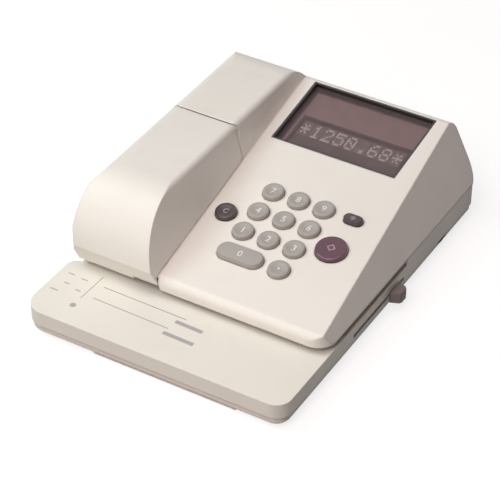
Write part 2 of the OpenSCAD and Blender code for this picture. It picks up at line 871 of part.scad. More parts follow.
module board_screws() color(steel) place() {
  on_deck(0, 0)
    for (x = board_holes_x, s = board_holes_s) {
      translate([x, s, -pcb_top - pcb_t - 1.2]) cylinder(h = 1.2, r = 2);
      translate([x, s, -pcb_top - pcb_t - 0.1]) cylinder(h = pcb_t + 3, r = 1 - run_gap);
    }
  for (x = board_post_x, y = board_post_y) {
    rod_z(x, y, board_z + pcb_t, board_z + pcb_t + 1.4, 2.4);
    rod_z(x, y, foot_h + 2.5, board_z + pcb_t + 0.1, 1.2 - run_gap);
  }
}

// --- electronics ---

jack_x = xl + 145;
jack_z = board_z + pcb_t + 5.6;

module main_board() color(board) place()
  difference() {
    block([board_post_x[0] - board_rim, board_post_y[0] - board_rim, board_z],
          [board_post_x[1] + board_rim / 2, board_post_y[1] + board_rim, board_z + pcb_t]);
    for (x = board_post_x, y = board_post_y)
      rod_z(x, y, board_z - 1, board_z + pcb_t + 1, 1.4);
  }

module board_parts() color(dark) place() {
  z = board_z + pcb_t;
  block([xl + 80, case_d - 70, z], [xl + 108, case_d - 60, z + 3.2]);
  block([xl + 82, case_d - 48, z], [xl + 102, case_d - 40, z + 3]);
  block([xl + 116, case_d - 66, z], [xl + 128, case_d - 54, z + 2.4]);
  for (i = [0:2])
    rod_z(xl + 120 + 13 * i, case_d - 36, z, z + 11, 4);
  block([xl + 136, case_d - 78, z], [xl + 152, case_d - 74.5, z + 13]);
}

module dc_jack() color(dark) place() {
  y1 = case_d - back_gap - wall - 0.2;
  difference() {
    block([jack_x - 4.5, y1 - 13, board_z + pcb_t], [jack_x + 4.5, y1, jack_z + 4.6]);
    rod_y(jack_x, jack_z, y1 - 9.5, y1 + 1, 2.8);
  }
  rod_y(jack_x, jack_z, y1 - 9.6, y1 - 0.6, 1);
}

module power_switch() color(dark) place()
  difference() {
    block([xr - 11, switch_y - 5.7, switch_z0 + 0.3], [xr - 3.2, switch_y + 5.7, switch_z1 - 0.3]);
    block([xr - 6, switch_y - 4.6, switch_z0 + 0.9], [xr, switch_y + 4.6, switch_z1 - 0.9]);
  }

module switch_slider() color(dark) place()
  block([xr - 5.7, switch_y - 4.3, switch_z0 + 1.2], [xr - 0.3, switch_y - 0.3, switch_z1 - 1.2]);

// --- check stop ---

slide_z0 = 11.2;
slide_z1 = 13.8;
slide_gap = 0.5;

module check_stop() color(grey) place() {
  block([fence_x - 6, stop_y - 9, slide_z0], [xr - wall - slide_gap, stop_y + 9, slide_z1]);
  block([xr - wall - 1, stop_y - 5, slide_z0], [xr + 0.6, stop_y + 5, slide_z1]);
  block([fence_x - 1.6, stop_y + 1.8, slide_z1 - eps], [fence_x + 1.6, stop_y + 5, table_z + 0.6]);
  block([fence_x - 12, stop_y + 2, table_z + 0.3], [fence_x + 12, stop_y + 4.5, zs - 0.3]);
}

module stop_knob() color(dark) place()
  difference() {
    along_z(slide_z0 - 4, slide_z1 + 1.6) polygon([
      [xr + 0.6, stop_y - 7], [xr + stop_out - 1.2, stop_y - 4.5], [xr + stop_out, stop_y - 3],
      [xr + stop_out, stop_y + 3], [xr + stop_out - 1.2, stop_y + 4.5], [xr + 0.6, stop_y + 7]
    ]);
    for (i = [-2:2])
      block([xr + stop_out - 0.6, stop_y + i * 1.6 - 0.3, 0], [xr + 20, stop_y + i * 1.6 + 0.3, 30]);
  }

// --- printing works ---

module frame_plate(y0, y1, z0, z1, r = 5) along_y(y0, y1)
  polygon(rounded(rect(frame_x0, z0, frame_x1 - 3, z1), [2, 2, r, r]));

module frame_ear(x) along_x(x, x + 2.5) {
  translate([hinge_y, hinge_z]) circle(r = ear_r);
  polygon([
    [hinge_y - 2.6, hinge_z - 1.5], [hinge_y + 2.6, hinge_z - 1.5],
    [plate_y + plate_t, hinge_z - 9], [plate_y + plate_t, hinge_z - 14],
    [plate_y, hinge_z - 14]
  ]);
}

module printer_frame() color(steel) place() {
  z0 = frame_z;
  difference() {
    union() {
      block([frame_x0, frame_y0, z0], [frame_x1, motor_plate_y + frame_t, z0 + frame_t]);
      frame_plate(frame_y0, frame_y0 + plate_t, z0, wheel_z + 16);
      frame_plate(plate_y, plate_y + plate_t, z0, hinge_z - 6);
      frame_plate(motor_plate_y, motor_plate_y + frame_t, z0, motor_c.y + 9);
      for (y = [plate_y, motor_plate_y])
        block([idler_c.x - 6, y, table_z], [idler_c.x + 6, y + frame_t, z0 + 9]);
      block([frame_x0, frame_y0, z0], [frame_x0 + frame_t, plate_y + plate_t, z0 + 16]);
      for (y = [roller_y0 - 7, roller_y1 + 5])
        block([pivot_c.x - 3.5, y, z0], [pivot_c.x + 3.5, y + 2, pivot_c.y + 3]);
      for (x = frame_ears)
        frame_ear(x);
    }
    block([wheel_x - 10, print_y - 8, z0 - 1], [wheel_x + 10, print_y + 8, z0 + frame_t + 1]);
    pinch_window(z0 - 1, z0 + frame_t + 1);
    block([wheel_x - 14, plate_y + plate_t + 0.5, z0 - 1],
          [frame_x1 + 1, motor_plate_y - 0.5, z0 + frame_t + 1]);
    rod_y(wheel_x, wheel_z, frame_y0 - 1, plate_y + plate_t + 1, bush_r + run_gap);
    rod_y(motor_c.x, motor_c.y, motor_plate_y - 1, motor_plate_y + frame_t + 1, 4);
    rod_y(idler_c.x, idler_c.y, plate_y - 1, motor_plate_y + frame_t + 1, pinch_pin_r + run_gap);
    rod_y(pivot_c.x, pivot_c.y, roller_y0 - 8, roller_y1 + 8, pinch_pin_r + run_gap);
    rod_x(hinge_y, hinge_z, frame_ears[0] - 1, frame_ears[1] + 4, hinge_r + run_gap);
    for (p = frame_screw_at)
      rod_z(p.x, p.y, z0 - 1, z0 + frame_t + 1, screw_r);
  }
}

frame_screw_at = [[frame_x0 + 5, frame_y0 + 5], [frame_x1 - 5, frame_y0 + 5],
                  [frame_x0 + 6, 100], [frame_x1 - 5, 100]];

// The screws that hold the throat's roof, from below, and the frame, from above.
module works_screws() color(steel) place() {
  z = frame_z + frame_t;
  for (p = roof_screw_at) {
    rod_z(p.x, p.y, zs + 0.1, zs + 0.9, head_r);
    rod_z(p.x, p.y, zs + 0.8, frame_z + 4.5, screw_r - run_gap);
  }
  for (p = frame_screw_at) {
    rod_z(p.x, p.y, z, z + 1.6, head_r);
    rod_z(p.x, p.y, frame_z + 0.1, z + 0.1, screw_r - run_gap);
  }
}

// The pins that the idler gear and the pinch arm turn on.
module frame_pins() color(steel) place() {
  rod_y(idler_c.x, idler_c.y, plate_y, motor_plate_y + frame_t, pinch_pin_r);
  rod_y(pivot_c.x, pivot_c.y, roller_y0 - 7, roller_y1 + 7, pinch_pin_r);
}

module print_motor() color(steel) place() {
  y0 = motor_plate_y + frame_t;
  rod_y(motor_c.x, motor_c.y, y0 - 1.2, y0 + 0.1, 3.9);
  rod_y(motor_c.x, motor_c.y, y0, y0 + 36, motor_r);
  rod_y(motor_c.x, motor_c.y, y0 + 35.9, y0 + 39, 5);
}

// One tooth space flank as an involute: the point at roll angle t.
function involute(rb, t) = [
  rb * (cos(t) + t * PI / 180 * sin(t)), rb * (sin(t) - t * PI / 180 * cos(t))
];

function turn(p, a) = [p.x * cos(a) - p.y * sin(a), p.x * sin(a) + p.y * cos(a)];

function roll_to(rb, r) = sqrt(max(r * r / (rb * rb) - 1, 0)) * 180 / PI;

// A spur gear's outline with a tooth centred on the x axis.
module gear_plan(n) {
  press_a = 20;
  rp = gear_m * n / 2;
  rb = rp * cos(press_a);
  ra = rp + 0.9 * gear_m;
  rf = rp - 1.2 * gear_m;
  thin = 0.16 / rp * 180 / PI;
  half = 90 / n + (tan(press_a) * 180 / PI - press_a) - thin;
  steps = 4;
  t0 = roll_to(rb, max(rb, rf));
  t1 = roll_to(rb, ra);
  low_side = [for (k = [0:steps]) turn(involute(rb, t0 + (t1 - t0) * k / steps), -half)];
  tooth = concat(
    [rf * unit(low_side[0])], low_side,
    [for (k = [steps:-1:0]) [low_side[k].x, -low_side[k].y]],
    [rf * unit([low_side[0].x, -low_side[0].y])]
  );
  polygon([for (i = [0:n - 1]) each [for (p = tooth) turn(p, i * 360 / n)]]);
}

module gear(c, n, turn_a, hub_r, bore_r) {
  difference() {
    union() {
      along_y(gear_y0, gear_y1) translate(c) rotate(turn_a) gear_plan(n);
      rod_y(c.x, c.y, gear_y0 - 1, gear_y1 + 1, hub_r);
    }
    rod_y(c.x, c.y, gear_y0 - 2, gear_y1 + 2, bore_r);
  }
}

module motor_pinion() color(warm) place()
  gear(motor_c, pinion_n, motor_turn, 3.4, motor_shaft_r);

module motor_shaft() color(steel) place()
  rod_y(motor_c.x, motor_c.y, gear_y0 - 1, motor_plate_y + frame_t - 1.2, motor_shaft_r);

module wheel_gear() color(warm) place()
  difference() {
    gear(wheel_c, wheel_n, wheel_turn, 6, shaft_r);
    for (a = [0:60:300])
      rod_y(turned(wheel_c, 11, a + 30).x, turned(wheel_c, 11, a + 30).y, 120, 132, 3);
  }

module idler_gear() color(warm) place()
  gear(idler_c, idler_n, idler_turn, 4, pinch_pin_r + run_gap);

module feed_gear() color(warm) place()
  gear(feed_c, feed_n, feed_turn, 4.4, shaft_r);

module print_shaft() color(steel) place() rod_y(wheel_x, wheel_z, frame_y0 - 3, gear_y1 + 1, shaft_r);

module feed_shaft() color(steel) place() rod_y(feed_x, feed_z, post_y[0] - 3, gear_y1 + 1, shaft_r);

// Twelve raised type blocks round a rim on spokes.
type_n = 12;

module type_wheel() color(dark) place() {
  rim_r = wheel_r - 1.6;
  difference() {
    union() {
      rod_y(wheel_x, wheel_z, print_y - wheel_t / 2, print_y + wheel_t / 2, rim_r);
      rod_y(wheel_x, wheel_z, print_y - wheel_t / 2 - 3, print_y + wheel_t / 2 + 3, 6);
      for (i = [0:type_n - 1])
        intersection() {
          rod_y(wheel_x, wheel_z, print_y - wheel_t / 2 + 1.5, print_y + wheel_t / 2 - 1.5, wheel_r);
          translate([wheel_x, 0, wheel_z]) rotate([0, i * 360 / type_n, 0])
            block([0, print_y - wheel_t / 2, -3], [wheel_r + 1, print_y + wheel_t / 2, 3]);
        }
    }
    rod_y(wheel_x, wheel_z, 0, 80, shaft_r);
    for (side = [0, 1])
      along_y(side == 0 ? print_y - wheel_t / 2 - 1 : print_y + 2,
              side == 0 ? print_y - 2 : print_y + wheel_t / 2 + 1)
        translate(wheel_c) difference() {
          circle(r = rim_r - 2.5);
          circle(r = 8);
        }
  }
}

module ink_roller() color(maroon) place()
  difference() {
    rod_y(ink_c.x, ink_c.y, print_y - 7, print_y + 7, ink_r);
    rod_y(ink_c.x, ink_c.y, print_y - 8, print_y + 8, pinch_pin_r + run_gap);
  }

module ink_holder() color(dark) place() {
  x0 = frame_x0 + frame_t + 0.1;
  for (y = [print_y - 12, print_y + 10])
    difference() {
      along_y(y, y + 2) union() {
        translate(ink_c) circle(r = 4);
        polygon([[x0, frame_z + frame_t], [x0 + 7, frame_z + frame_t],
                 [x0 + 7, ink_c.y - 12], [ink_c.x + 3.6, ink_c.y - 1],
                 [ink_c.x - 3.6, ink_c.y + 1], [x0, ink_c.y - 9]]);
      }
      rod_y(ink_c.x, ink_c.y, y - 1, y + 3, pinch_pin_r);
    }
  rod_y(ink_c.x, ink_c.y, print_y - 13, print_y + 13, pinch_pin_r);
  block([x0, print_y - 12, frame_z + frame_t + 8], [x0 + 1.6, print_y + 12, ink_c.y - 10]);
}

module shaft_bushes() color([0.78, 0.62, 0.36]) place() {
  for (y = [frame_y0, plate_y])
    bush(wheel_c, y, plate_t);
  for (y = post_y)
    bush(feed_c, y, 2);
}

module bush(c, y, t)
  difference() {
    union() {
      rod_y(c.x, c.y, y, y + t, bush_r);
      rod_y(c.x, c.y, y - 1, y, bush_r + 0.8);
    }
    rod_y(c.x, c.y, y - 2, y + t + 1, shaft_r + run_gap);
  }

module feed_roller() color(dark) place()
  difference() {
    rod_y(feed_x, feed_z, roller_y0, roller_y1, feed_r);
    rod_y(feed_x, feed_z, roller_y0 - 1, roller_y1 + 1, shaft_r);
  }

arm_y = [roller_y0 - 2.5, roller_y1 + 0.5];

module pinch_arm() color(steel) place()
  difference() {
    union() {
      for (y = arm_y)
        along_y(y, y + 2) {
          translate(pinch_c) circle(r = 3);
          translate(pivot_c) circle(r = 3);
          polygon([pinch_c + [0, -2.4], pinch_c + [0, 2.4], pivot_c + [0, 2.4], pivot_c + [0, -2.4]]);
        }
      rod_y(pivot_c.x, pivot_c.y, arm_y[0], arm_y[1] + 2, 3);
      rod_y(pinch_c.x, pinch_c.y, arm_y[0], arm_y[1] + 2, pinch_pin_r);
    }
    rod_y(pivot_c.x, pivot_c.y, 0, 100, pinch_pin_r + run_gap);
  }

module pinch_roller() color(dark) place()
  difference() {
    rod_y(pinch_c.x, pinch_c.y, roller_y0, roller_y1, pinch_r);
    rod_y(pinch_c.x, pinch_c.y, roller_y0 - 1, roller_y1 + 1, pinch_pin_r + run_gap);
  }

hammer_r = 2.5;
anvil_w = 12;
anvil_l = 14;

module print_hammer() color(steel) place() {
  block([wheel_x - anvil_w / 2, print_y - anvil_l / 2, table_z - 3.2],
        [wheel_x + anvil_w / 2, print_y + anvil_l / 2, table_z - 0.2]);
  rod_z(wheel_x, print_y, foot_h + wall + 0.5, table_z - 3, hammer_r);
}

module hammer_coil() color(maroon) place()
  difference() {
    union() {
      rod_z(wheel_x, print_y, foot_h + wall, table_z - 4.4, 7);
      rod_z(wheel_x, print_y, foot_h + wall, foot_h + wall + 1.2, 8.4);
      rod_z(wheel_x, print_y, table_z - 5.6, table_z - 4.4, 8.4);
    }
    rod_z(wheel_x, print_y, foot_h, table_z, hammer_r + 0.3);
  }

base_pan();
table_cover();
battery_door();
battery_cells();
battery_contacts();
rubber_feet();
case_screws();
upper_case();
throat_roof();
works_screws();
printer_cover();
cover_hinge_pin();
display_bezel();
display_lens();
lcd_panel();
lcd_surround();
lcd_frame();
keypad_board();
key_mat();
board_screws();
key_0();
key_1();
key_2();
key_3();
key_4();
key_5();
key_6();
key_7();
key_8();
key_9();
key_point();
key_clear();
key_mode();
key_print();
main_board();
board_parts();
dc_jack();
power_switch();
switch_slider();
check_stop();
stop_knob();
printer_frame();
frame_pins();
print_motor();
motor_shaft();
motor_pinion();
idler_gear();
wheel_gear();
print_shaft();
type_wheel();
ink_roller();
ink_holder();
feed_shaft();
feed_roller();
feed_gear();
shaft_bushes();
pinch_arm();
pinch_roller();
print_hammer();
hammer_coil();
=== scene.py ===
import json
import math
import random

import bpy
import bmesh
from mathutils import Matrix, Vector


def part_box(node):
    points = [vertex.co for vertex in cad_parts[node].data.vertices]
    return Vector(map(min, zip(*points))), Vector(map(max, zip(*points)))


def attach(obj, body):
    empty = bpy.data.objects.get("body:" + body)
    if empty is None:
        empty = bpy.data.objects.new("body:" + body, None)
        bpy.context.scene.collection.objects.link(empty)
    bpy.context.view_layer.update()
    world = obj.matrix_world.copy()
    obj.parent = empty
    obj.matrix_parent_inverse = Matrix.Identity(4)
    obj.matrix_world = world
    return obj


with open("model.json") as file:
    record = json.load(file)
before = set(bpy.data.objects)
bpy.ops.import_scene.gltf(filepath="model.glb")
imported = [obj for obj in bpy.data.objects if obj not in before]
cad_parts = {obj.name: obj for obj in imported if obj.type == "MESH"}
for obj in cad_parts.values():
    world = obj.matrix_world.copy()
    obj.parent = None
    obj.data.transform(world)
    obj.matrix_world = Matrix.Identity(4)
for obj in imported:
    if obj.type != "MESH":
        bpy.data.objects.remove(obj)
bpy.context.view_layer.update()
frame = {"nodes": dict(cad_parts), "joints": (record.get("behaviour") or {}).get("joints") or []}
NODES = frame["nodes"]
MM = 0.001
random.seed(7)

# ---------------------------------------------------------------- places
# The check writer's looks, on the frame that the CAD step packed. Sizes are millimetres,
# but the shaders', the lamps' and the floor's are metres. Places are in the CAD source's own
# frame, whose y starts at the housing's front face, and a size with the same name there
# has the same value.

SHIFT = -82.0               # from the source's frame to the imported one, along y
CASE_W = 190.0
XL, XR = -CASE_W / 2, CASE_W / 2
TABLE_Z = 20.6
DECK_Z = 34.4
DECK_A = math.radians(9.5)
RIDGE_W = 59.0
RIDGE_TOP = 81.5
RIDGE_A = math.radians(14)
RIDGE_REF_Z = 45.0          # where the ridge has its stated width
CHEEK_OUT = 4.0
CHEEK_Z = 42.0
CHEEK_A = math.radians(2)
MARK_UP = 0.03              # how far a printed mark stands off what carries it
FULL = 2 * math.pi


def at(x, y, z):
    """A point of the source's own frame, in millimetres."""
    return Vector((x, y + SHIFT, z)) * MM


def deck(x, s, h):
    """A point x across, s up the slope and h above the deck."""
    c, n = math.cos(DECK_A), math.sin(DECK_A)
    return at(x, s * c - h * n, DECK_Z + s * n + h * c)


def deck_matrix(x, s, h):
    """The deck's own frame at a point of it."""
    return Matrix.Translation(deck(x, s, h)) @ Matrix.Rotation(DECK_A, 4, "X")


def box(node):
    """Lowest and highest corner of a CAD node, in millimetres of the source's frame."""
    return [(c[0] / MM, c[1] / MM - SHIFT, c[2] / MM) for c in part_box(node)]


def joint_place(name):
    """The place of a joint, in millimetres of the source's frame."""
    x, y, z = next(j["pos_m"] for j in frame["joints"] if j["name"] == name)
    return x / MM, y / MM - SHIFT, z / MM


# ---------------------------------------------------------------- meshes

def put(name, data):
    """An object in the scene."""
    o = bpy.data.objects.new(name, data)
    bpy.context.scene.collection.objects.link(o)
    return o


def piece(name, data, material, body):
    """An object that rides on a body, in one material."""
    o = put(name, data)
    data.materials.append(material)
    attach(o, body)


def mesh_of(name, bm):
    """A mesh from a bmesh, which is freed."""
    mesh = bpy.data.meshes.new(name)
    bm.to_mesh(mesh)
    bm.free()
    return mesh


def from_bmesh(name, bm, material, body, smooth=False):
    """A piece from a bmesh."""
    mesh = mesh_of(name, bm)
    if smooth:
        for p in mesh.polygons:
            p.use_smooth = True
    piece(name, mesh, material, body)


def quad_sheet(bm, m, x0, y0, x1, y1, z=0.0):
    """A flat rectangle in the plane of m, in metres."""
    corners = ((x0, y0), (x1, y0), (x1, y1), (x0, y1))
    bm.faces.new([bm.verts.new(m @ Vector((x, y, z))) for x, y in corners])


def disc(bm, x, y, z, r, sides):
    """A flat round face."""
    turns = [FULL * i / sides for i in range(sides)]
    bm.faces.new([bm.verts.new(at(x + r * math.cos(t), y + r * math.sin(t), z)) for t in turns])


def add_box(bm, m, lo, hi):
    """A box from lo to hi in the frame of m, in metres."""
    vs = [bm.verts.new(m @ Vector((x, y, z)))
          for x in (lo[0], hi[0]) for y in (lo[1], hi[1]) for z in (lo[2], hi[2])]
    for f in ((0, 1, 3, 2), (4, 6, 7, 5), (0, 4, 5, 1), (2, 3, 7, 6), (0, 2, 6, 4), (1, 5, 7, 3)):
        bm.faces.new([vs[i] for i in f])


def block(bm, place, lo, hi):
    """A box from lo to hi about a place, in millimetres."""
    add_box(bm, Matrix.Translation(at(*place)), [v * MM for v in lo], [v * MM for v in hi])


def loft(bm, rows):
    """A closed skin through rings of vertices, capped at both ends."""
    for q, r in zip(rows, rows[1:]):
        for k in range(len(q)):
            n = (k + 1) % len(q)
            bm.faces.new((q[k], q[n], r[n], r[k]))
    bm.faces.new(rows[0])
    bm.faces.new(list(reversed(rows[-1])))


def outward(bm):
    """Turns every face outwards."""
    bmesh.ops.recalc_face_normals(bm, faces=bm.faces[:])


def tube(name, points, radius, material, body):
    """A round wire through the given points, its radius in millimetres."""
    curve = bpy.data.curves.new(name, "CURVE")
    curve.dimensions = "3D"
    curve.bevel_depth = radius * MM
    curve.bevel_resolution = 2
    curve.use_fill_caps = True
    line = curve.splines.new("POLY")
    line.points.add(len(points) - 1)
    for i, p in enumerate(points):
        line.points[i].co = (*p, 1)
    piece(name, curve, material, body)


def coil(start, axis, r, length, turns, steps=14):
    """Points of a helix from start along axis, with steps to a turn."""
    axis = Vector(axis).normalized()
    u = axis.orthogonal().normalized()
    v = axis.cross(u)
    n = int(turns * steps)
    return [start + axis * (length * i / n)
            + u * (r * math.cos(FULL * i / steps)) + v * (r * math.sin(FULL * i / steps))
            for i in range(n + 1)]


def smooth_path(points, steps=8):
    """A Catmull-Rom line through the points."""
    pts = [points[0], *points, points[-1]]
    out = []
    for i in range(1, len(pts) - 2):
        p0, p1, p2, p3 = pts[i - 1:i + 3]
        for k in range(steps):
            t = k / steps
            out.append(0.5 * ((2 * p1) + (p2 - p0) * t + (2 * p0 - 5 * p1 + 4 * p2 - p3) * t * t
                              + (3 * p1 - p0 - 3 * p2 + p3) * t ** 3))
    return out + [points[-1]]


# ---------------------------------------------------------------- shader trees
# Textures take the object's coordinates, so a noise of scale 100 has features of about 1 cm.

class Nodes:
    """A few lines of shader tree building, for a material or a world."""

    def __init__(self, owner):
        owner.use_nodes = True
        self.tree = owner.node_tree
        self.place = None

    def link(self, a, b):
        self.tree.links.new(a, b)

    def add(self, kind, **values):
        """A node, with each value set on its property or else on its socket."""
        n = self.tree.nodes.new(kind)
        for k, v in values.items():
            if hasattr(n, k):
                setattr(n, k, v)
            else:
                n.inputs[k.replace("_", " ")].default_value = v
        return n

    def noise(self, scale, detail=2.0, rough=0.5, place=None):
        n = self.add("ShaderNodeTexNoise", Scale=scale, Detail=detail, Roughness=rough)
        self.link(place or self.place, n.inputs["Vector"])
        return n.outputs["Fac"]

    def ramp(self, fac, lo, hi, a=0.3, b=0.7):
        """Takes a to b of the input to lo to hi."""
        n = self.add("ShaderNodeMapRange", From_Min=a, From_Max=b, To_Min=lo, To_Max=hi)
        self.link(fac, n.inputs["Value"])
        return n.outputs["Result"]

    def mix(self, fac, a, b):
        """A blend of two colours, each a tuple or a socket."""
        n = self.add("ShaderNodeMix", data_type="RGBA")
        self.link(fac, n.inputs[0])
        for socket, v in ((n.inputs[6], a), (n.inputs[7], b)):
            if isinstance(v, tuple):
                socket.default_value = (*v, 1.0)
            else:
                self.link(v, socket)
        return n.outputs[2]

    def mix_shader(self, fac, a, b):
        n = self.add("ShaderNodeMixShader")
        for socket, v in zip(n.inputs, (fac, a, b)):
            self.link(v, socket)
        return n.outputs[0]

    def math(self, op, a, b):
        n = self.add("ShaderNodeMath", operation=op)
        for socket, v in zip(n.inputs, (a, b)):
            if isinstance(v, float):
                socket.default_value = v
            else:
                self.link(v, socket)
        return n.outputs[0]

    def seen(self):
        """1 for what the camera sees straight, through glass or in a gloss, otherwise 0."""
        ray = self.add("ShaderNodeLightPath").outputs
        straight = self.math("MAXIMUM", ray["Is Camera Ray"], ray["Is Transmission Ray"])
        return self.math("MAXIMUM", straight, ray["Is Glossy Ray"])


class Skin(Nodes):
    """The tree of a material."""

    def __init__(self, name):
        self.material = bpy.data.materials.new(name)
        super().__init__(self.material)
        self.shader = self.tree.nodes["Principled BSDF"]
        self.place = self.add("ShaderNodeTexCoord").outputs["Object"]

    def wander(self, a, b, scale, detail=2.0, rough=0.5, amount=1.0):
        """A colour that wanders from a towards b."""
        return self.mix(self.ramp(self.noise(scale, detail, rough), 0.0, amount), a, b)

    def color(self, socket):
        self.link(socket, self.shader.inputs["Base Color"])

    def gloss(self, fac, lo, hi):
        self.link(self.ramp(fac, lo, hi), self.shader.inputs["Roughness"])

    def bump(self, heights, radius=0.0):
        """Bumps from (height output, distance in metres), on an edge rounded by radius."""
        normal = None
        if radius:
            normal = self.add("ShaderNodeBevel", samples=6, Radius=radius).outputs["Normal"]
        for h, distance in heights:
            n = self.add("ShaderNodeBump", Distance=distance, Strength=1.0)
            self.link(h, n.inputs["Height"])
            if normal is not None:
                self.link(normal, n.inputs["Normal"])
            normal = n.outputs["Normal"]
        self.link(normal, self.shader.inputs["Normal"])

    def edges(self):
        """1 on worn edges, 0 on flats."""
        g = self.add("ShaderNodeNewGeometry")
        return self.ramp(g.outputs["Pointiness"], 0.0, 1.0, 0.52, 0.60)

    def surface(self, shader):
        self.link(shader, self.tree.nodes["Material Output"].inputs["Surface"])


def tone(color, times, plus=0.0):
    """A colour made lighter or darker."""
    return tuple(min(1.0, x * times + plus) for x in color)


# ---------------------------------------------------------------- materials

def moulded(name, color, rough, grain=0.00002, radius=0.0005, wear=0.25):
    """A moulded plastic: fine spark texture, slow colour drift, handling shine and edge wear."""
    skin = Skin(name)
    c = skin.wander(tone(color, 0.97), tone(color, 1.03), 9.0, 3.0)
    soil = skin.math("MULTIPLY", skin.ramp(skin.noise(38.0, 4.0, 0.6), 0.0, 1.0, 0.52, 0.78), 0.10)
    c = skin.mix(soil, c, (0.45, 0.40, 0.34))
    skin.color(skin.mix(skin.math("MULTIPLY", skin.edges(), wear), c, tone(color, 1.12, 0.02)))
    skin.gloss(skin.noise(22.0, 3.0), rough - 0.07, rough + 0.07)
    spark, fine, waves = skin.noise(900.0), skin.noise(2600.0, 1.0), skin.noise(55.0)
    skin.bump([(spark, grain), (fine, grain * 0.5), (waves, 0.00003)], radius)
    return skin.material


def glossy(name, color, rough, coat=0.6, radius=0.0006):
    """A smooth plastic under a clear coat."""
    skin = Skin(name)
    skin.color(skin.wander(tone(color, 0.92), color, 30.0, 3.0))
    skin.gloss(skin.noise(45.0, 3.0), rough - 0.03, rough + 0.06)
    skin.shader.inputs["Coat Weight"].default_value = coat
    skin.shader.inputs["Coat Roughness"].default_value = 0.12
    skin.bump([(skin.noise(120.0), 0.00001)], radius)
    return skin.material


def metal(name, color, rough, brushed=(1, 1, 1)):
    """A plated or turned metal with fine drawing marks and slight dulling."""
    skin = Skin(name)
    skin.shader.inputs["Metallic"].default_value = 1.0
    drawn = skin.add("ShaderNodeMapping", Scale=brushed)
    skin.link(skin.place, drawn.inputs["Vector"])
    fine = skin.noise(1400.0, 3.0, 0.6, drawn.outputs["Vector"])
    skin.color(skin.wander(tone(color, 0.92), color, 60.0, 3.0))
    skin.gloss(fine, rough - 0.08, rough + 0.10)
    skin.bump([(fine, 0.000006)], 0.0002)
    return skin.material


def rubber(name, color, rough=0.75):
    """A dull rubber with a fine grain."""
    skin = Skin(name)
    skin.color(skin.wander(color, tone(color, 1.5, 0.02), 70.0, 4.0, 0.6))
    skin.gloss(skin.noise(180.0), rough - 0.1, rough + 0.1)
    skin.bump([(skin.noise(1500.0, 3.0), 0.00003)], 0.0004)
    return skin.material


def printed(name, color, rough=0.5):
    """Pad-printed ink: slightly uneven. The screws' near-black cross recesses use it too, as painted
    shade.
    """
    skin = Skin(name)
    skin.color(skin.wander(color, tone(color, 1.3, 0.05), 900.0, 3.0, amount=0.35))
    skin.gloss(skin.noise(300.0), rough - 0.05, rough + 0.08)
    return skin.material


def laminate(name, color):
    """A circuit board: solder mask with faint tracks."""
    skin = Skin(name)
    tracks = skin.add("ShaderNodeTexBrick", Scale=160.0, Mortar_Size=0.03, Color1=(*color, 1),
                      Color2=(*tone(color, 0.85), 1), Mortar=(*tone(color, 1.6, 0.02), 1))
    skin.link(skin.place, tracks.inputs["Vector"])
    skin.color(tracks.outputs["Color"])
    skin.gloss(skin.noise(200.0), 0.28, 0.42)
    skin.bump([(tracks.outputs["Fac"], 0.00003)])
    return skin.material


def film(name, a, b, rough):
    """A flat layer of the display, between two near colours."""
    skin = Skin(name)
    skin.color(skin.wander(a, b, 400.0))
    skin.gloss(skin.noise(50.0), rough, rough + 0.1)
    return skin.material


def smoke_lens(name):
    """A tinted window: mostly clear, with a share of a warm grey film."""
    skin = Skin(name)
    skin.shader.inputs["Base Color"].default_value = (0.36, 0.265, 0.27, 1)
    skin.shader.inputs["IOR"].default_value = 1.49
    skin.gloss(skin.noise(60.0, 3.0), 0.04, 0.12)
    clear = skin.add("ShaderNodeBsdfTransparent", Color=(0.93, 0.90, 0.90, 1))
    share = skin.ramp(skin.noise(80.0, 3.0), 0.79, 0.84)
    skin.surface(skin.mix_shader(share, skin.shader.outputs[0], clear.outputs[0]))
    return skin.material


def wire_skin(name, color):
    """A wire's plastic cover."""
    skin = Skin(name)
    skin.color(skin.wander(tone(color, 0.8), color, 120.0))
    skin.gloss(skin.noise(300.0), 0.35, 0.5)
    return skin.material


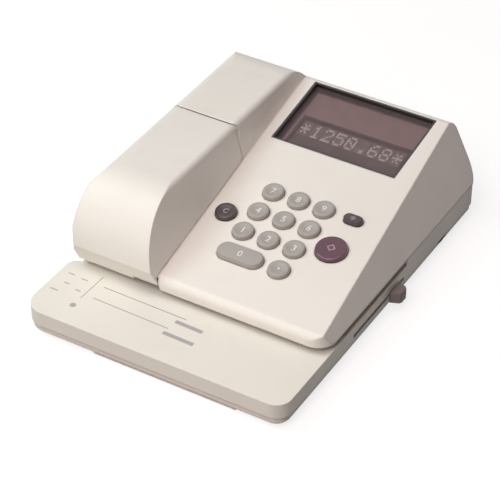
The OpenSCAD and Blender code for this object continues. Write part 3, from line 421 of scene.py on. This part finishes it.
FINISH = {
    "cream": moulded("case_cream", (0.86, 0.83, 0.77), 0.46, radius=0.0018),
    "cover": moulded("cover_cream", (0.85, 0.825, 0.77), 0.44, radius=0.0013),
    "table": moulded("table_cream", (0.85, 0.82, 0.75), 0.48, radius=0.0011),
    "pan": moulded("pan_cream", (0.86, 0.80, 0.745), 0.55, radius=0.0012),
    "knob": moulded("knob_grey", (0.20, 0.165, 0.155), 0.5, radius=0.0006),
    "grey": moulded("key_grey", (0.40, 0.375, 0.35), 0.42, radius=0.0006, wear=0.5),
    "dark": moulded("key_dark", (0.060, 0.042, 0.045), 0.36, radius=0.0006),
    "black": moulded("black_plastic", (0.022, 0.021, 0.023), 0.42, radius=0.0003),
    "nylon": moulded("nylon", (0.74, 0.72, 0.64), 0.40, radius=0.0001, grain=0.000006),
    "maroon": glossy("key_maroon", (0.090, 0.020, 0.045), 0.30),
    "bezel": glossy("bezel_black", (0.018, 0.015, 0.016), 0.30, 0.3, 0.0003),
    "wrap": glossy("cell_wrap", (0.035, 0.036, 0.045), 0.30, 0.5, 0.0002),
    "steel": metal("zinc_steel", (0.47, 0.48, 0.50), 0.36, brushed=(1, 8, 1)),
    "bright": metal("nickel", (0.75, 0.74, 0.72), 0.22),
    "shaft": metal("ground_steel", (0.66, 0.66, 0.67), 0.20, brushed=(6, 1, 6)),
    "brass": metal("brass", (0.80, 0.60, 0.28), 0.28),
    "bronze": metal("sintered_bronze", (0.60, 0.40, 0.20), 0.50),
    "copper": metal("winding", (0.55, 0.20, 0.09), 0.35, brushed=(1, 1, 14)),
    "tin": metal("solder", (0.72, 0.72, 0.74), 0.30),
    "rubber": rubber("black_rubber", (0.030, 0.030, 0.032)),
    "silicone": rubber("silicone", (0.50, 0.49, 0.46), 0.6),
    "ink": rubber("ink_roller", (0.050, 0.006, 0.025), 0.55),
    "board": laminate("board_green", (0.030, 0.13, 0.050)),
    "white_ink": printed("legend_white", (0.80, 0.79, 0.76)),
    "sign_ink": printed("mark_green_grey", (0.30, 0.36, 0.33)),
    "grey_ink": printed("mark_grey", (0.42, 0.40, 0.40)),
    # a lighter plum than the key: the print key's printed diamond, whose light tone also paints the
    # highlight at the key's middle
    "print_ink_and_highlight": printed("mark_print_and_highlight", (0.42, 0.24, 0.30)),
    # painted shade: the screws' cross recesses are drawn near-black, for the shade inside them
    "recess": printed("screw_recess_shade", (0.05, 0.05, 0.05), 0.6),
    "lens": smoke_lens("smoke_lens"),
    "lcd": film("lcd_cell", (0.085, 0.075, 0.075), (0.11, 0.10, 0.095), 0.15),
    "lcd_dim": film("lcd_cell_field", (0.19, 0.18, 0.175), (0.23, 0.22, 0.21), 0.2),
    "lcd_on": film("lcd_segment", (0.78, 0.78, 0.74), (0.85, 0.85, 0.82), 0.3),
    "backing": film("window_backing", (0.33, 0.245, 0.25), (0.36, 0.265, 0.27), 0.4),
    "wire_red": wire_skin("wire_red", (0.45, 0.03, 0.03)),
    "wire_black": wire_skin("wire_black", (0.02, 0.02, 0.02)),
    "wire_white": wire_skin("wire_white", (0.75, 0.74, 0.70)),
    "ribbon": wire_skin("ribbon_grey", (0.45, 0.46, 0.47)),
}

PAINT = {
    "cream": ["upper_case"],
    "cover": ["printer_cover"],
    "table": ["table_cover"],
    "pan": ["base_pan", "battery_door"],
    "knob": ["stop_knob"],
    "grey": ["key_point", *("key_%d" % n for n in range(10))],
    "dark": ["key_clear", "key_mode"],
    "black": ["board_parts", "dc_jack", "power_switch", "switch_slider", "type_wheel", "ink_holder"],
    "nylon": ["wheel_gear", "idler_gear", "feed_gear"],
    "maroon": ["key_print"],
    "bezel": ["display_bezel", "lcd_surround"],
    "wrap": ["battery_cells"],
    "steel": ["throat_roof", "printer_frame", "print_motor", "print_hammer", "pinch_arm",
              "check_stop", "case_screws"],
    "bright": ["battery_contacts", "works_screws", "board_screws"],
    "shaft": ["cover_hinge_pin", "frame_pins", "motor_shaft", "print_shaft", "feed_shaft"],
    "brass": ["motor_pinion"],
    "bronze": ["shaft_bushes"],
    "copper": ["hammer_coil"],
    "rubber": ["rubber_feet", "feed_roller", "pinch_roller"],
    "silicone": ["key_mat"],
    "ink": ["ink_roller"],
    "board": ["keypad_board", "main_board"],
    "lens": ["display_lens"],
    "lcd": ["lcd_panel"],
    "backing": ["lcd_frame"],
}
for paint, nodes in PAINT.items():
    for node in nodes:
        materials = NODES[node].data.materials
        materials.clear()
        materials.append(FINISH[paint])

# ---------------------------------------------------------------- key legends

KEY_X, KEY_S = XR - 97.8, 102.3  # the 7 key, across and up the slope
KEY_PX, KEY_PY = 19.6, 20.4
KEY_UP = 3.2
ROW_MID = KEY_S - 30.3      # the row of the clear and print keys
SMALL_X = XR - 36.3         # the column of the mode and print keys
DISH_R = 17.0
DISH_C = KEY_UP + 16.2      # height of the dish's centre over the deck
LEGEND_UP = 0.04
LEGEND_SIZE = 7.2


def col(i):
    """Across to a column of keys."""
    return KEY_X + i * KEY_PX


def row(i):
    """Up the slope to a row of keys."""
    return KEY_S - i * KEY_PY


def glyph_mesh(text, size):
    """A flat mesh of one character, centred on its own box."""
    curve = bpy.data.curves.new("glyph_tmp", "FONT")
    curve.body = text
    curve.size = size
    curve.resolution_u = 4
    o = bpy.data.objects.new("glyph_tmp", curve)
    mesh = bpy.data.meshes.new_from_object(o)
    bpy.data.objects.remove(o)
    bpy.data.curves.remove(curve)
    bm = bmesh.new()
    bm.from_mesh(mesh)
    bpy.data.meshes.remove(mesh)
    xs = [v.co.x for v in bm.verts]
    ys = [v.co.y for v in bm.verts]
    cx, cy = (min(xs) + max(xs)) / 2, (min(ys) + max(ys)) / 2
    for v in bm.verts:
        v.co.x -= cx
        v.co.y -= cy
    bmesh.ops.triangulate(bm, faces=bm.faces[:])
    bmesh.ops.subdivide_edges(bm, edges=bm.edges[:], cuts=1)
    return bm


def legend(key, text, x, s, size, ink, dished=True):
    """A character printed on a key, following its dish."""
    bm = glyph_mesh(text, size)
    for v in bm.verts:
        r2 = v.co.x ** 2 + v.co.y ** 2
        h = DISH_C - math.sqrt(DISH_R ** 2 - r2) if dished else KEY_UP
        v.co = deck(x + v.co.x, s + v.co.y, h + LEGEND_UP)
    from_bmesh("legend_" + key, bm, FINISH[ink], key)


def diamond(key, x, s, outer, inner, ink):
    """A diamond outline printed on a flat key."""
    bm = bmesh.new()
    turns = [FULL * i / 4 for i in range(4)]
    q, r = [[bm.verts.new(deck(x + a * math.cos(t), s + a * math.sin(t), KEY_UP + LEGEND_UP))
             for t in turns] for a in (inner, outer)]
    for i in range(4):
        j = (i + 1) % 4
        bm.faces.new((r[i], r[j], q[j], q[i]))
    from_bmesh("legend_" + key, bm, FINISH[ink], key)


for i, digits in enumerate(("789", "456", "123")):
    for j, digit in enumerate(digits):
        legend("key_" + digit, digit, col(j), row(i), LEGEND_SIZE, "white_ink")
legend("key_0", "0", col(0.5), row(3), LEGEND_SIZE, "white_ink", dished=False)
legend("key_point", ".", col(2), row(3), 13.0, "white_ink")
legend("key_clear", "C", col(-1), ROW_MID, 6.0, "grey_ink")
legend("key_mode", "*", SMALL_X, row(0), 9.0, "grey_ink", dished=False)
# the print key's printed diamond; its light plum also stands in for a painted highlight at the key's
# middle
diamond("key_print", SMALL_X, ROW_MID, 3.3, 2.0, "print_ink_and_highlight")

# ---------------------------------------------------------------- lips under the seams

_, HINGE_Y, HINGE_Z = joint_place("cover_hinge")
LEFT_R, RIGHT_R = 10.0, 4.0         # rounded top corners of the ridge's section
BARREL_R, BARREL_IN = 5.45, 4.7     # the barrel's outside and inside
BARREL_TURN = (6, 88, 14)           # its first and last degree, and the parts between
BARREL_SIDE = 0.3                   # how far its ends stay in from the walls
CHEEK_R, CHEEK_TURN = 5.6, (-56, 56, 14)
CHEEK_SIDES = (0.35, 1.5)           # a cheek's two faces, in from the wall
CROOK_R, CROOK_Y, CROOK_TURN = 2.7, 1.2, (60, -60, 6)  # the cheek's hollow about the pin
LIP_REACH, LIP_UNDER, LIP_T = 2.1, 0.62, 0.9  # in and out from the wall, and thick
LIP_DROP = 0.14                     # how far it lies under the wall's foot
LIP_ENDS = (1.6, 121.5)


def ridge_x(z):
    """The right wall of the ridge at height z."""
    return XL + RIDGE_W - (z - RIDGE_REF_Z) * math.tan(RIDGE_A)


def cheek_x(z):
    """The left wall of the ridge at height z."""
    return XL - CHEEK_OUT + (z - CHEEK_Z) * math.tan(CHEEK_A)


def rounding(z, r, inset):
    """How far a top corner of radius r has turned in at height z."""
    up = z - (RIDGE_TOP - r)
    r -= inset
    return 0.0 if up <= 0 else r - math.sqrt(max(0.0, r * r - up * up))


def ridge_span(z, inset):
    """Left and right of the ridge's section at height z, moved in by inset."""
    return (cheek_x(z) + inset + rounding(z, LEFT_R, inset),
            ridge_x(z) - inset - rounding(z, RIGHT_R, inset))


def arc(r, first, last, parts, y=0.0):
    """Points (y, z) of an arc about the hinge pin, from first to last degree."""
    turns = [math.radians(first + (last - first) * i / parts) for i in range(parts + 1)]
    return [(r * math.cos(t) + y, r * math.sin(t)) for t in turns]


def hinge_barrel():
    """The cover's rolled back edge, which turns under the housing's lip, and its two cheeks."""
    bm = bmesh.new()
    rows = []
    for (y, z), (yi, zi) in zip(arc(BARREL_R, *BARREL_TURN), arc(BARREL_IN, *BARREL_TURN)):
        left, right = ridge_span(HINGE_Z + z, BARREL_SIDE)
        section = ((left, y, z), (right, y, z), (right, yi, zi), (left, yi, zi))
        rows.append([bm.verts.new(at(a, HINGE_Y + b, HINGE_Z + c)) for a, b, c in section])
    loft(bm, rows)
    cheek = arc(CHEEK_R, *CHEEK_TURN) + arc(CROOK_R, *CROOK_TURN, CROOK_Y)
    for side in (0, 1):
        loft(bm, [[bm.verts.new(at(ridge_span(HINGE_Z + z, deep)[side], HINGE_Y + y, HINGE_Z + z))
                   for y, z in cheek] for deep in CHEEK_SIDES])
    outward(bm)
    from_bmesh("hinge_barrel", bm, FINISH["cover"], "printer_cover")


def foot_lip():
    """The case's rebate under the foot of the cover's side wall."""
    bm = bmesh.new()
    section = ((-LIP_REACH, 0), (LIP_UNDER, 0), (LIP_UNDER, -LIP_T), (-LIP_REACH, -LIP_T))
    rows = []
    for y in LIP_ENDS:
        foot = DECK_Z + y * math.tan(DECK_A) - LIP_DROP
        rows.append([bm.verts.new(at(ridge_x(foot + h) + x, y, foot + h)) for x, h in section])
    loft(bm, rows)
    outward(bm)
    from_bmesh("foot_lip", bm, FINISH["cream"], "machine")


hinge_barrel()
foot_lip()

# ---------------------------------------------------------------- display

TEXT = "*1250.68*"
DOTS = {
    "*": "00000 01010 00100 11111 00100 01010 00000",
    ".": "00000 00000 00000 00000 00000 00110 00110",
    "0": "01110 10001 11001 10101 10011 10001 01110",
    "1": "00100 01100 00100 00100 00100 00100 01110",
    "2": "01110 10001 00001 00010 00100 01000 11111",
    "5": "11111 10000 11110 00001 00001 10001 01110",
    "6": "00110 01000 10000 11110 10001 10001 01110",
    "8": "01110 10001 10001 01110 10001 10001 01110",
}
TEXT_X, TEXT_S, TEXT_DEEP = -23.4, 169.4, 8.36  # foot of the first character, under the deck
CHAR_PITCH = 9.1
DOT_PX, DOT_PY = 1.45, 1.8
DOT_W, DOT_L = 0.93 * DOT_PX, 1.68
CELL = (-0.6, -0.8, 7.8, 13.4)  # a character's field, from its foot
CELL_DOWN = 0.01                # how far the field lies behind the dots


def dot_cells():
    """The characters, of seven rows of five dots, and the cells behind them."""
    dots, cells = bmesh.new(), bmesh.new()
    for i, char in enumerate(TEXT):
        m = deck_matrix(TEXT_X + i * CHAR_PITCH, TEXT_S, -TEXT_DEEP)
        quad_sheet(cells, m, *(v * MM for v in CELL), -CELL_DOWN * MM)
        rows = DOTS[char].split()
        for r, bits in enumerate(rows):
            for c, bit in enumerate(bits):
                if bit == "1":
                    x, y = c * DOT_PX, (len(rows) - 1 - r) * DOT_PY
                    quad_sheet(dots, m, *(v * MM for v in (x, y, x + DOT_W, y + DOT_L)))
    from_bmesh("lcd_characters", dots, FINISH["lcd_on"], "machine")
    from_bmesh("lcd_cells", cells, FINISH["lcd_dim"], "machine")


dot_cells()

# ---------------------------------------------------------------- marks on the table

# Lines and blocks run from a point to a point, so wide. A tick has its middle and its length.
LINES = (((-67.8, -11.4), (-2.5, -12.1), 0.7), ((-67.5, -24.4), (-8.2, -25.6), 0.7),
         ((-73.7, -2.6), (-74.6, -28.6), 0.6))
BLOCKS = (((-7.7, -17.0), (13.2, -17.6), 3.2), ((-9.0, -30.4), (14.5, -31.0), 3.2))
TICKS = ((-93.9, -10.5, 5), (-95.1, -29.8, 6), (-91.3, -20.2, 4), (-80.5, -23, 4), (-83.1, -11.3, 5))
SPOT, SPOT_R = (-74.8, -37.2), 2.2
TICK_W = 1.0


def strip(bm, p, q, w):
    """A printed line from p to q, w wide."""
    a, b = Vector((*p, 0)), Vector((*q, 0))
    n = (b - a).normalized().cross(Vector((0, 0, 1))) * (w / 2)
    bm.faces.new([bm.verts.new(at(v.x, v.y, TABLE_Z + MARK_UP)) for v in (a + n, b + n, b - n, a - n)])


def strips(name, lines, ink, spots=()):
    """Printed lines, given as (from, to, width), and round spots."""
    bm = bmesh.new()
    for p, q, w in lines:
        strip(bm, p, q, w)
    for x, y in spots:
        disc(bm, x, y, TABLE_Z + MARK_UP, SPOT_R, 20)
    from_bmesh(name, bm, FINISH[ink], "machine")


strips("guide_lines", LINES, "sign_ink")
strips("guide_blocks", BLOCKS, "grey_ink", [SPOT])
strips("guide_ticks", [((x - w / 2, y), (x + w / 2, y), TICK_W) for x, y, w in TICKS], "grey_ink")

# ---------------------------------------------------------------- screws

UP, DOWN = Matrix.Identity(4), Matrix.Rotation(math.pi, 4, "X")
CASE_SCREWS = ((-86, -17), (84, -17), (-83, 153), (82, 153), (-83, 203), (82, 203))
ROOF_SCREWS = ((78, 16), (78, 100), (-24, 16), (-24, 100))
FRAME_SCREWS = ((-86, 25), (-48, 25), (-85, 100), (-48, 100))
BOARD_SCREWS = ((-27, 131), (-27, 197), (75, 131), (75, 197))
CASE_HEAD_Z = box("case_screws")[0][2]
ROOF_HEAD_Z = box("works_screws")[0][2]
FRAME_HEAD_Z = 30.2
BOARD_HEAD_Z = 13.0


def painted_recess_shades(name, places, head_z, facing, r):
    """A cross recess on each screw head, drawn as a flat near-black cross: painted shade for the
    recess's shadowed hollow.
    """
    z = head_z + (MARK_UP if facing is UP else -MARK_UP)
    bm = bmesh.new()
    for x, y in places:
        m = Matrix.Translation(at(x, y, z)) @ facing @ Matrix.Rotation(random.uniform(0, 1.5), 4, "Z")
        a, w = r * MM, 0.15 * r * MM
        add_box(bm, m, (-a, -w, -0.04 * MM), (a, w, 0.03 * MM))
        add_box(bm, m, (-w, -a, -0.04 * MM), (w, a, 0.04 * MM))
    from_bmesh(name, bm, FINISH["recess"], "machine")


# the dark crosses are painted shade standing in for the shadow inside each recess
painted_recess_shades("case_screw_recess", CASE_SCREWS, CASE_HEAD_Z, DOWN, 1.6)
painted_recess_shades("roof_screw_recess", ROOF_SCREWS, ROOF_HEAD_Z, DOWN, 1.6)
painted_recess_shades("frame_screw_recess", FRAME_SCREWS, FRAME_HEAD_Z, UP, 1.6)
painted_recess_shades("board_screw_recess", BOARD_SCREWS, BOARD_HEAD_Z, UP, 1.4)

# ---------------------------------------------------------------- wires and ribbons

MOTOR_LEAD = [(-66.0, 171.8, 70.5), (-64, 177, 66), (-56, 186, 45), (-46, 190, 22),
              (-36, 189, 17), (-26, 187, 12.2)]
COIL_LEAD = [(-59.8, 40, 8.5), (-52, 44, 7), (-38, 54, 6.8), (-34, 90, 6.8),
             (-30, 118, 7.5), (-25, 129, 12.2)]
CELL_LEAD = [(57.4, -42.4, 15), (60.5, -38, 14), (63, -12, 8), (63, 60, 7),
             (62, 112, 7.5), (58, 129, 12.2)]
KEYPAD_RIBBON = [(112.6, 42.4), (117, 40.5), (120, 33), (121, 22), (124, 15), (130, 12.3)]
LCD_RIBBON = [(184.6, 53.0), (186, 47), (184, 36), (180, 24), (176, 15), (170, 12.3)]
RIBBON_UP = 0.3     # half the thickness of a strand
STRAND_GAP = 0.03   # what a strand leaves free on each side


def wire(name, pts, skin, r=0.55, shift=(0, 0, 0)):
    """A round wire through points of the source's frame, moved by shift."""
    path = smooth_path([at(*p) + Vector(shift) * MM for p in pts])
    tube(name, path, r, FINISH[skin], "machine")


def ribbon(name, x0, x1, pts, strands):
    """A flat cable from x0 to x1, its strands side by side, along points (y, z)."""
    path = smooth_path([at(0, y, z) for y, z in pts])
    bm = bmesh.new()
    step = (x1 - x0) / strands
    for i in range(strands):
        a = Vector(((x0 + i * step + STRAND_GAP) * MM, 0, 0))
        b = Vector(((x0 + (i + 1) * step - STRAND_GAP) * MM, 0, 0))
        rows = []
        for j, p in enumerate(path):
            d = (path[min(j + 1, len(path) - 1)] - path[max(j - 1, 0)]).normalized()
            n = Vector((0, -d.z, d.y)) * (RIBBON_UP * MM)
            rim = (p + a, p + (a + b) / 2 + n, p + b, p + (a + b) / 2 - n)
            rows.append([bm.verts.new(v) for v in rim])
        loft(bm, rows)
    from_bmesh(name, bm, FINISH["ribbon"], "machine", smooth=True)


wire("motor_lead_red", MOTOR_LEAD, "wire_red")
wire("motor_lead_black", MOTOR_LEAD, "wire_black", shift=(1.6, 1.2, -0.6))
wire("coil_lead_a", COIL_LEAD, "wire_white", 0.45)
wire("coil_lead_b", COIL_LEAD, "wire_black", 0.45, (1.4, 0.9, 0))
wire("battery_lead_red", CELL_LEAD, "wire_red", 0.6)
wire("battery_lead_black", CELL_LEAD, "wire_black", 0.6, (-1.6, 1.4, 0))
ribbon("keypad_ribbon", 12, 30, KEYPAD_RIBBON, 14)
ribbon("lcd_ribbon", 2, 30, LCD_RIBBON, 22)

# ---------------------------------------------------------------- the printing works

WHEEL_X, _, WHEEL_Z = joint_place("wheel_spin")
WHEEL_R = 17.5
PRINT_Y = 40.0
TYPE = "1234567890.-"
TYPE_SIZE = 6.4
TYPE_UP, TYPE_ROOT = 0.16, 0.05  # how far the type stands out of its block, and is let in
SPRING_R = 0.3                   # of every spring's wire
PINCH_X, _, PINCH_Z = joint_place("pinch_lift")
PINCH_Y, PINCH_COIL_R, PINCH_COIL_L, PINCH_TURNS = 61.0, 3.55, 6.0, 6
CELL_Z = 10.2
CONE_R, CONE_IN = 5.2, 2.6       # a cell spring's wide and narrow end
CONE_STEPS, CONE_STEP = 40, 0.45  # its points, and the turn between two in radians
TERMINAL = (-60.55, 169.0, 68.4)  # between the motor's two terminals
TERMINAL_X = 7.0


def raised_type():
    """A digit cut in reverse on each block of the type wheel."""
    bm = bmesh.new()
    for i, char in enumerate(TYPE):
        g = glyph_mesh(char, TYPE_SIZE)
        tops = set(bmesh.ops.extrude_face_region(g, geom=g.faces[:])["geom"])
        for v in g.verts:
            r = WHEEL_R + (TYPE_UP if v in tops else -TYPE_ROOT)
            a = -FULL * i / len(TYPE) - v.co.x / WHEEL_R
            v.co = at(WHEEL_X + r * math.cos(a), PRINT_Y + v.co.y, WHEEL_Z + r * math.sin(a))
        mesh = mesh_of("tmp", g)
        bm.from_mesh(mesh)
        bpy.data.meshes.remove(mesh)
    from_bmesh("raised_type", bm, FINISH["bright"], "wheel_set")


def pinch_spring():
    """A torsion spring on the pinch arm's pin, with a leg over the frame and one on the arm."""
    start = at(PINCH_X, PINCH_Y, PINCH_Z)
    turns = coil(start, (0, 1, 0), PINCH_COIL_R * MM, PINCH_COIL_L * MM, PINCH_TURNS)
    frame_leg = at(PINCH_X + 2.4, PINCH_Y, PINCH_Z - 3.1)
    arm_leg = at(PINCH_X + 12, PINCH_Y + PINCH_COIL_L, PINCH_Z - 0.3)
    tube("pinch_spring", [frame_leg, *turns, arm_leg], SPRING_R, FINISH["bright"], "pinch_arm")


def cell_spring(name, x, y, length):
    """A spring at the flat end of a cell, which narrows over its length."""
    points = []
    for i in range(CONE_STEPS + 1):
        part, t = i / CONE_STEPS, i * CONE_STEP
        r = CONE_R - (CONE_R - CONE_IN) * part
        points.append(at(x + length * part, y + r * math.cos(t), CELL_Z + r * math.sin(t)))
    tube(name, points, SPRING_R, FINISH["bright"], "machine")


def motor_terminals():
    """Two tabs on the motor's rear end."""
    bm = bmesh.new()
    x, y, z = TERMINAL
    for side in (-TERMINAL_X, TERMINAL_X):
        block(bm, (x + side, y, z), (-1.2, 0, -0.3), (1.2, 4, 0.3))
    from_bmesh("motor_terminals", bm, FINISH["brass"], "machine")


raised_type()
pinch_spring()
cell_spring("cell_spring_0", 52.0, -42.4, 2)
cell_spring("cell_spring_1", -44.2, -27.6, -2)
motor_terminals()

# ---------------------------------------------------------------- main board

CHIPS = (  # x from and to, y of the front and the back, pins a side
    (-15, 13, 149, 159, 14),
    (-13, 7, 171, 179, 10),
    (21, 33, 153, 165, 11),
)
PIN_Z, PIN_OUT, PIN_DOWN = 13.4, 1.2, 1.7
PIN_W, PIN_D, PIN_T = 0.25, 0.2, 0.3   # half a pin's width and depth, and its thickness
CAN_X, CAN_Y, CAN_Z, CAN_R = 25.0, 183.0, 22.6, 3.6  # top of the first capacitor
CAN_PITCH, CANS = 13.0, 3


def pin_row(bm, x0, x1, y, n, out):
    """n pins along one side of a chip, out from it and down to the board."""
    for i in range(n):
        x = x0 + (x1 - x0) * (i + 0.5) / n
        block(bm, (x, y, PIN_Z), (-PIN_W, min(0, out), 0), (PIN_W, max(0, out), PIN_T))
        block(bm, (x, y + out, PIN_Z), (-PIN_W, -PIN_D, -PIN_DOWN), (PIN_W, PIN_D, PIN_T))


def board_details():
    """The chips' pins and the capacitors' bare tops."""
    pins, tops = bmesh.new(), bmesh.new()
    for x0, x1, front, rear, n in CHIPS:
        pin_row(pins, x0, x1, front, n, -PIN_OUT)
        pin_row(pins, x0, x1, rear, n, PIN_OUT)
    for i in range(CANS):
        disc(tops, CAN_X + i * CAN_PITCH, CAN_Y, CAN_Z + MARK_UP, CAN_R, 24)
    from_bmesh("chip_pins", pins, FINISH["tin"], "machine")
    from_bmesh("capacitor_tops", tops, FINISH["tin"], "machine")


board_details()

# ---------------------------------------------------------------- light and floor

AIM = (0, 0, 0.03)
LAMP_SIZE = 0.8
LAMPS = (  # place in metres, power and colour
    ("key_light", (-0.75, -0.35, 1.15), 7.6, (0.85, 1.0, 0.97)),
    ("front_light", (0.1, -1.0, 1.15), 9.2, (1.0, 0.87, 0.85)),
    ("low_light", (-0.35, -1.3, 0.65), 2.6, (1.0, 0.87, 0.76)),
    ("top_light", (0, 0, 1.5), 4.4, (1.0, 0.86, 0.88)),
)
FLOOR_HALF = 6.0
FLOOR_DOWN = 0.0002  # how far the floor lies under the feet


def lamp(name, place, power, color):
    """A soft round lamp that looks at the machine."""
    light = bpy.data.lights.new(name, "AREA")
    light.shape = "DISK"
    light.size = LAMP_SIZE
    light.energy = power
    light.color = color
    o = put(name, light)
    o.location = place
    o.rotation_mode = "QUATERNION"
    o.rotation_quaternion = (Vector(AIM) - Vector(place)).to_track_quat("-Z", "Y")


def studio_world():
    """A dim warm room, which the camera sees as white."""
    world = bpy.data.worlds.new("studio")
    bpy.context.scene.world = world
    sky = Nodes(world)
    room = sky.tree.nodes["Background"]
    room.inputs["Color"].default_value = (1.0, 0.84, 0.82, 1)
    room.inputs["Strength"].default_value = 0.05
    white = sky.add("ShaderNodeBackground", Color=(1, 1, 1, 1))
    shown = sky.mix_shader(sky.seen(), room.outputs[0], white.outputs[0])
    sky.link(shown, sky.tree.nodes["World Output"].inputs["Surface"])


def floor_material():
    """A pale floor that keeps shadows, and that glows to white for the camera further out."""
    skin = Skin("floor_white")
    skin.color(skin.wander((0.34, 0.335, 0.33), (0.36, 0.355, 0.35), 3.0))
    skin.shader.inputs["Roughness"].default_value = 0.9
    skin.shader.inputs["Specular IOR Level"].default_value = 0.0
    far = skin.add("ShaderNodeVectorMath", operation="LENGTH")
    skin.link(skin.place, far.inputs[0])
    level = skin.ramp(far.outputs["Value"], 0.78, 1.0, 0.35, 1.5)
    glow = skin.add("ShaderNodeEmission", Color=(1, 1, 1, 1))
    skin.link(skin.math("MULTIPLY", skin.seen(), level), glow.inputs["Strength"])
    both = skin.add("ShaderNodeAddShader")
    skin.link(skin.shader.outputs[0], both.inputs[0])
    skin.link(glow.outputs[0], both.inputs[1])
    skin.surface(both.outputs[0])
    return skin.material


def floor():
    """A wide sheet under the feet."""
    bm = bmesh.new()
    h = FLOOR_HALF
    quad_sheet(bm, Matrix.Identity(4), -h, -h, h, h, -FLOOR_DOWN)
    mesh = mesh_of("floor", bm)
    mesh.materials.append(floor_material())
    put("floor", mesh)


for settings in LAMPS:
    lamp(*settings)
studio_world()
floor()

# ---------------------------------------------------------------- camera

# Fitted to the photo's keys, display corners, table and base edges: the view's direction in
# degrees, its distance in millimetres, the focal length and the picture's width in pixels,
# and how far the view's middle lies right of and over the point looked at.
AZIMUTH, ELEVATION, DISTANCE = 30.74, 37.90, 1391.0
FOCAL_PX, WIDTH_PX, SENSOR = 2060.0, 500.0, 36.0
SHIFT_RIGHT, SHIFT_UP = -7.8, -17.6
LOOK_AT = (0, 80, 40)


def camera():
    """The photo's view."""
    a, e = math.radians(AZIMUTH), math.radians(ELEVATION)
    back = Vector((math.sin(a) * math.cos(e), -math.cos(a) * math.cos(e), math.sin(e)))
    right = Vector((math.cos(a), math.sin(a), 0))
    up = back.cross(right)
    cam = put("camera", bpy.data.cameras.new("camera"))
    cam.data.sensor_width = SENSOR
    cam.data.lens = FOCAL_PX / WIDTH_PX * SENSOR
    cam.data.clip_start, cam.data.clip_end = 0.1, 20
    place = at(*LOOK_AT) + (back * DISTANCE + right * SHIFT_RIGHT + up * SHIFT_UP) * MM
    turn = Matrix((right, up, back)).transposed().to_4x4()
    cam.matrix_world = Matrix.Translation(place) @ turn
    bpy.context.scene.camera = cam


camera()
bpy.context.scene.view_settings.view_transform = "Standard"
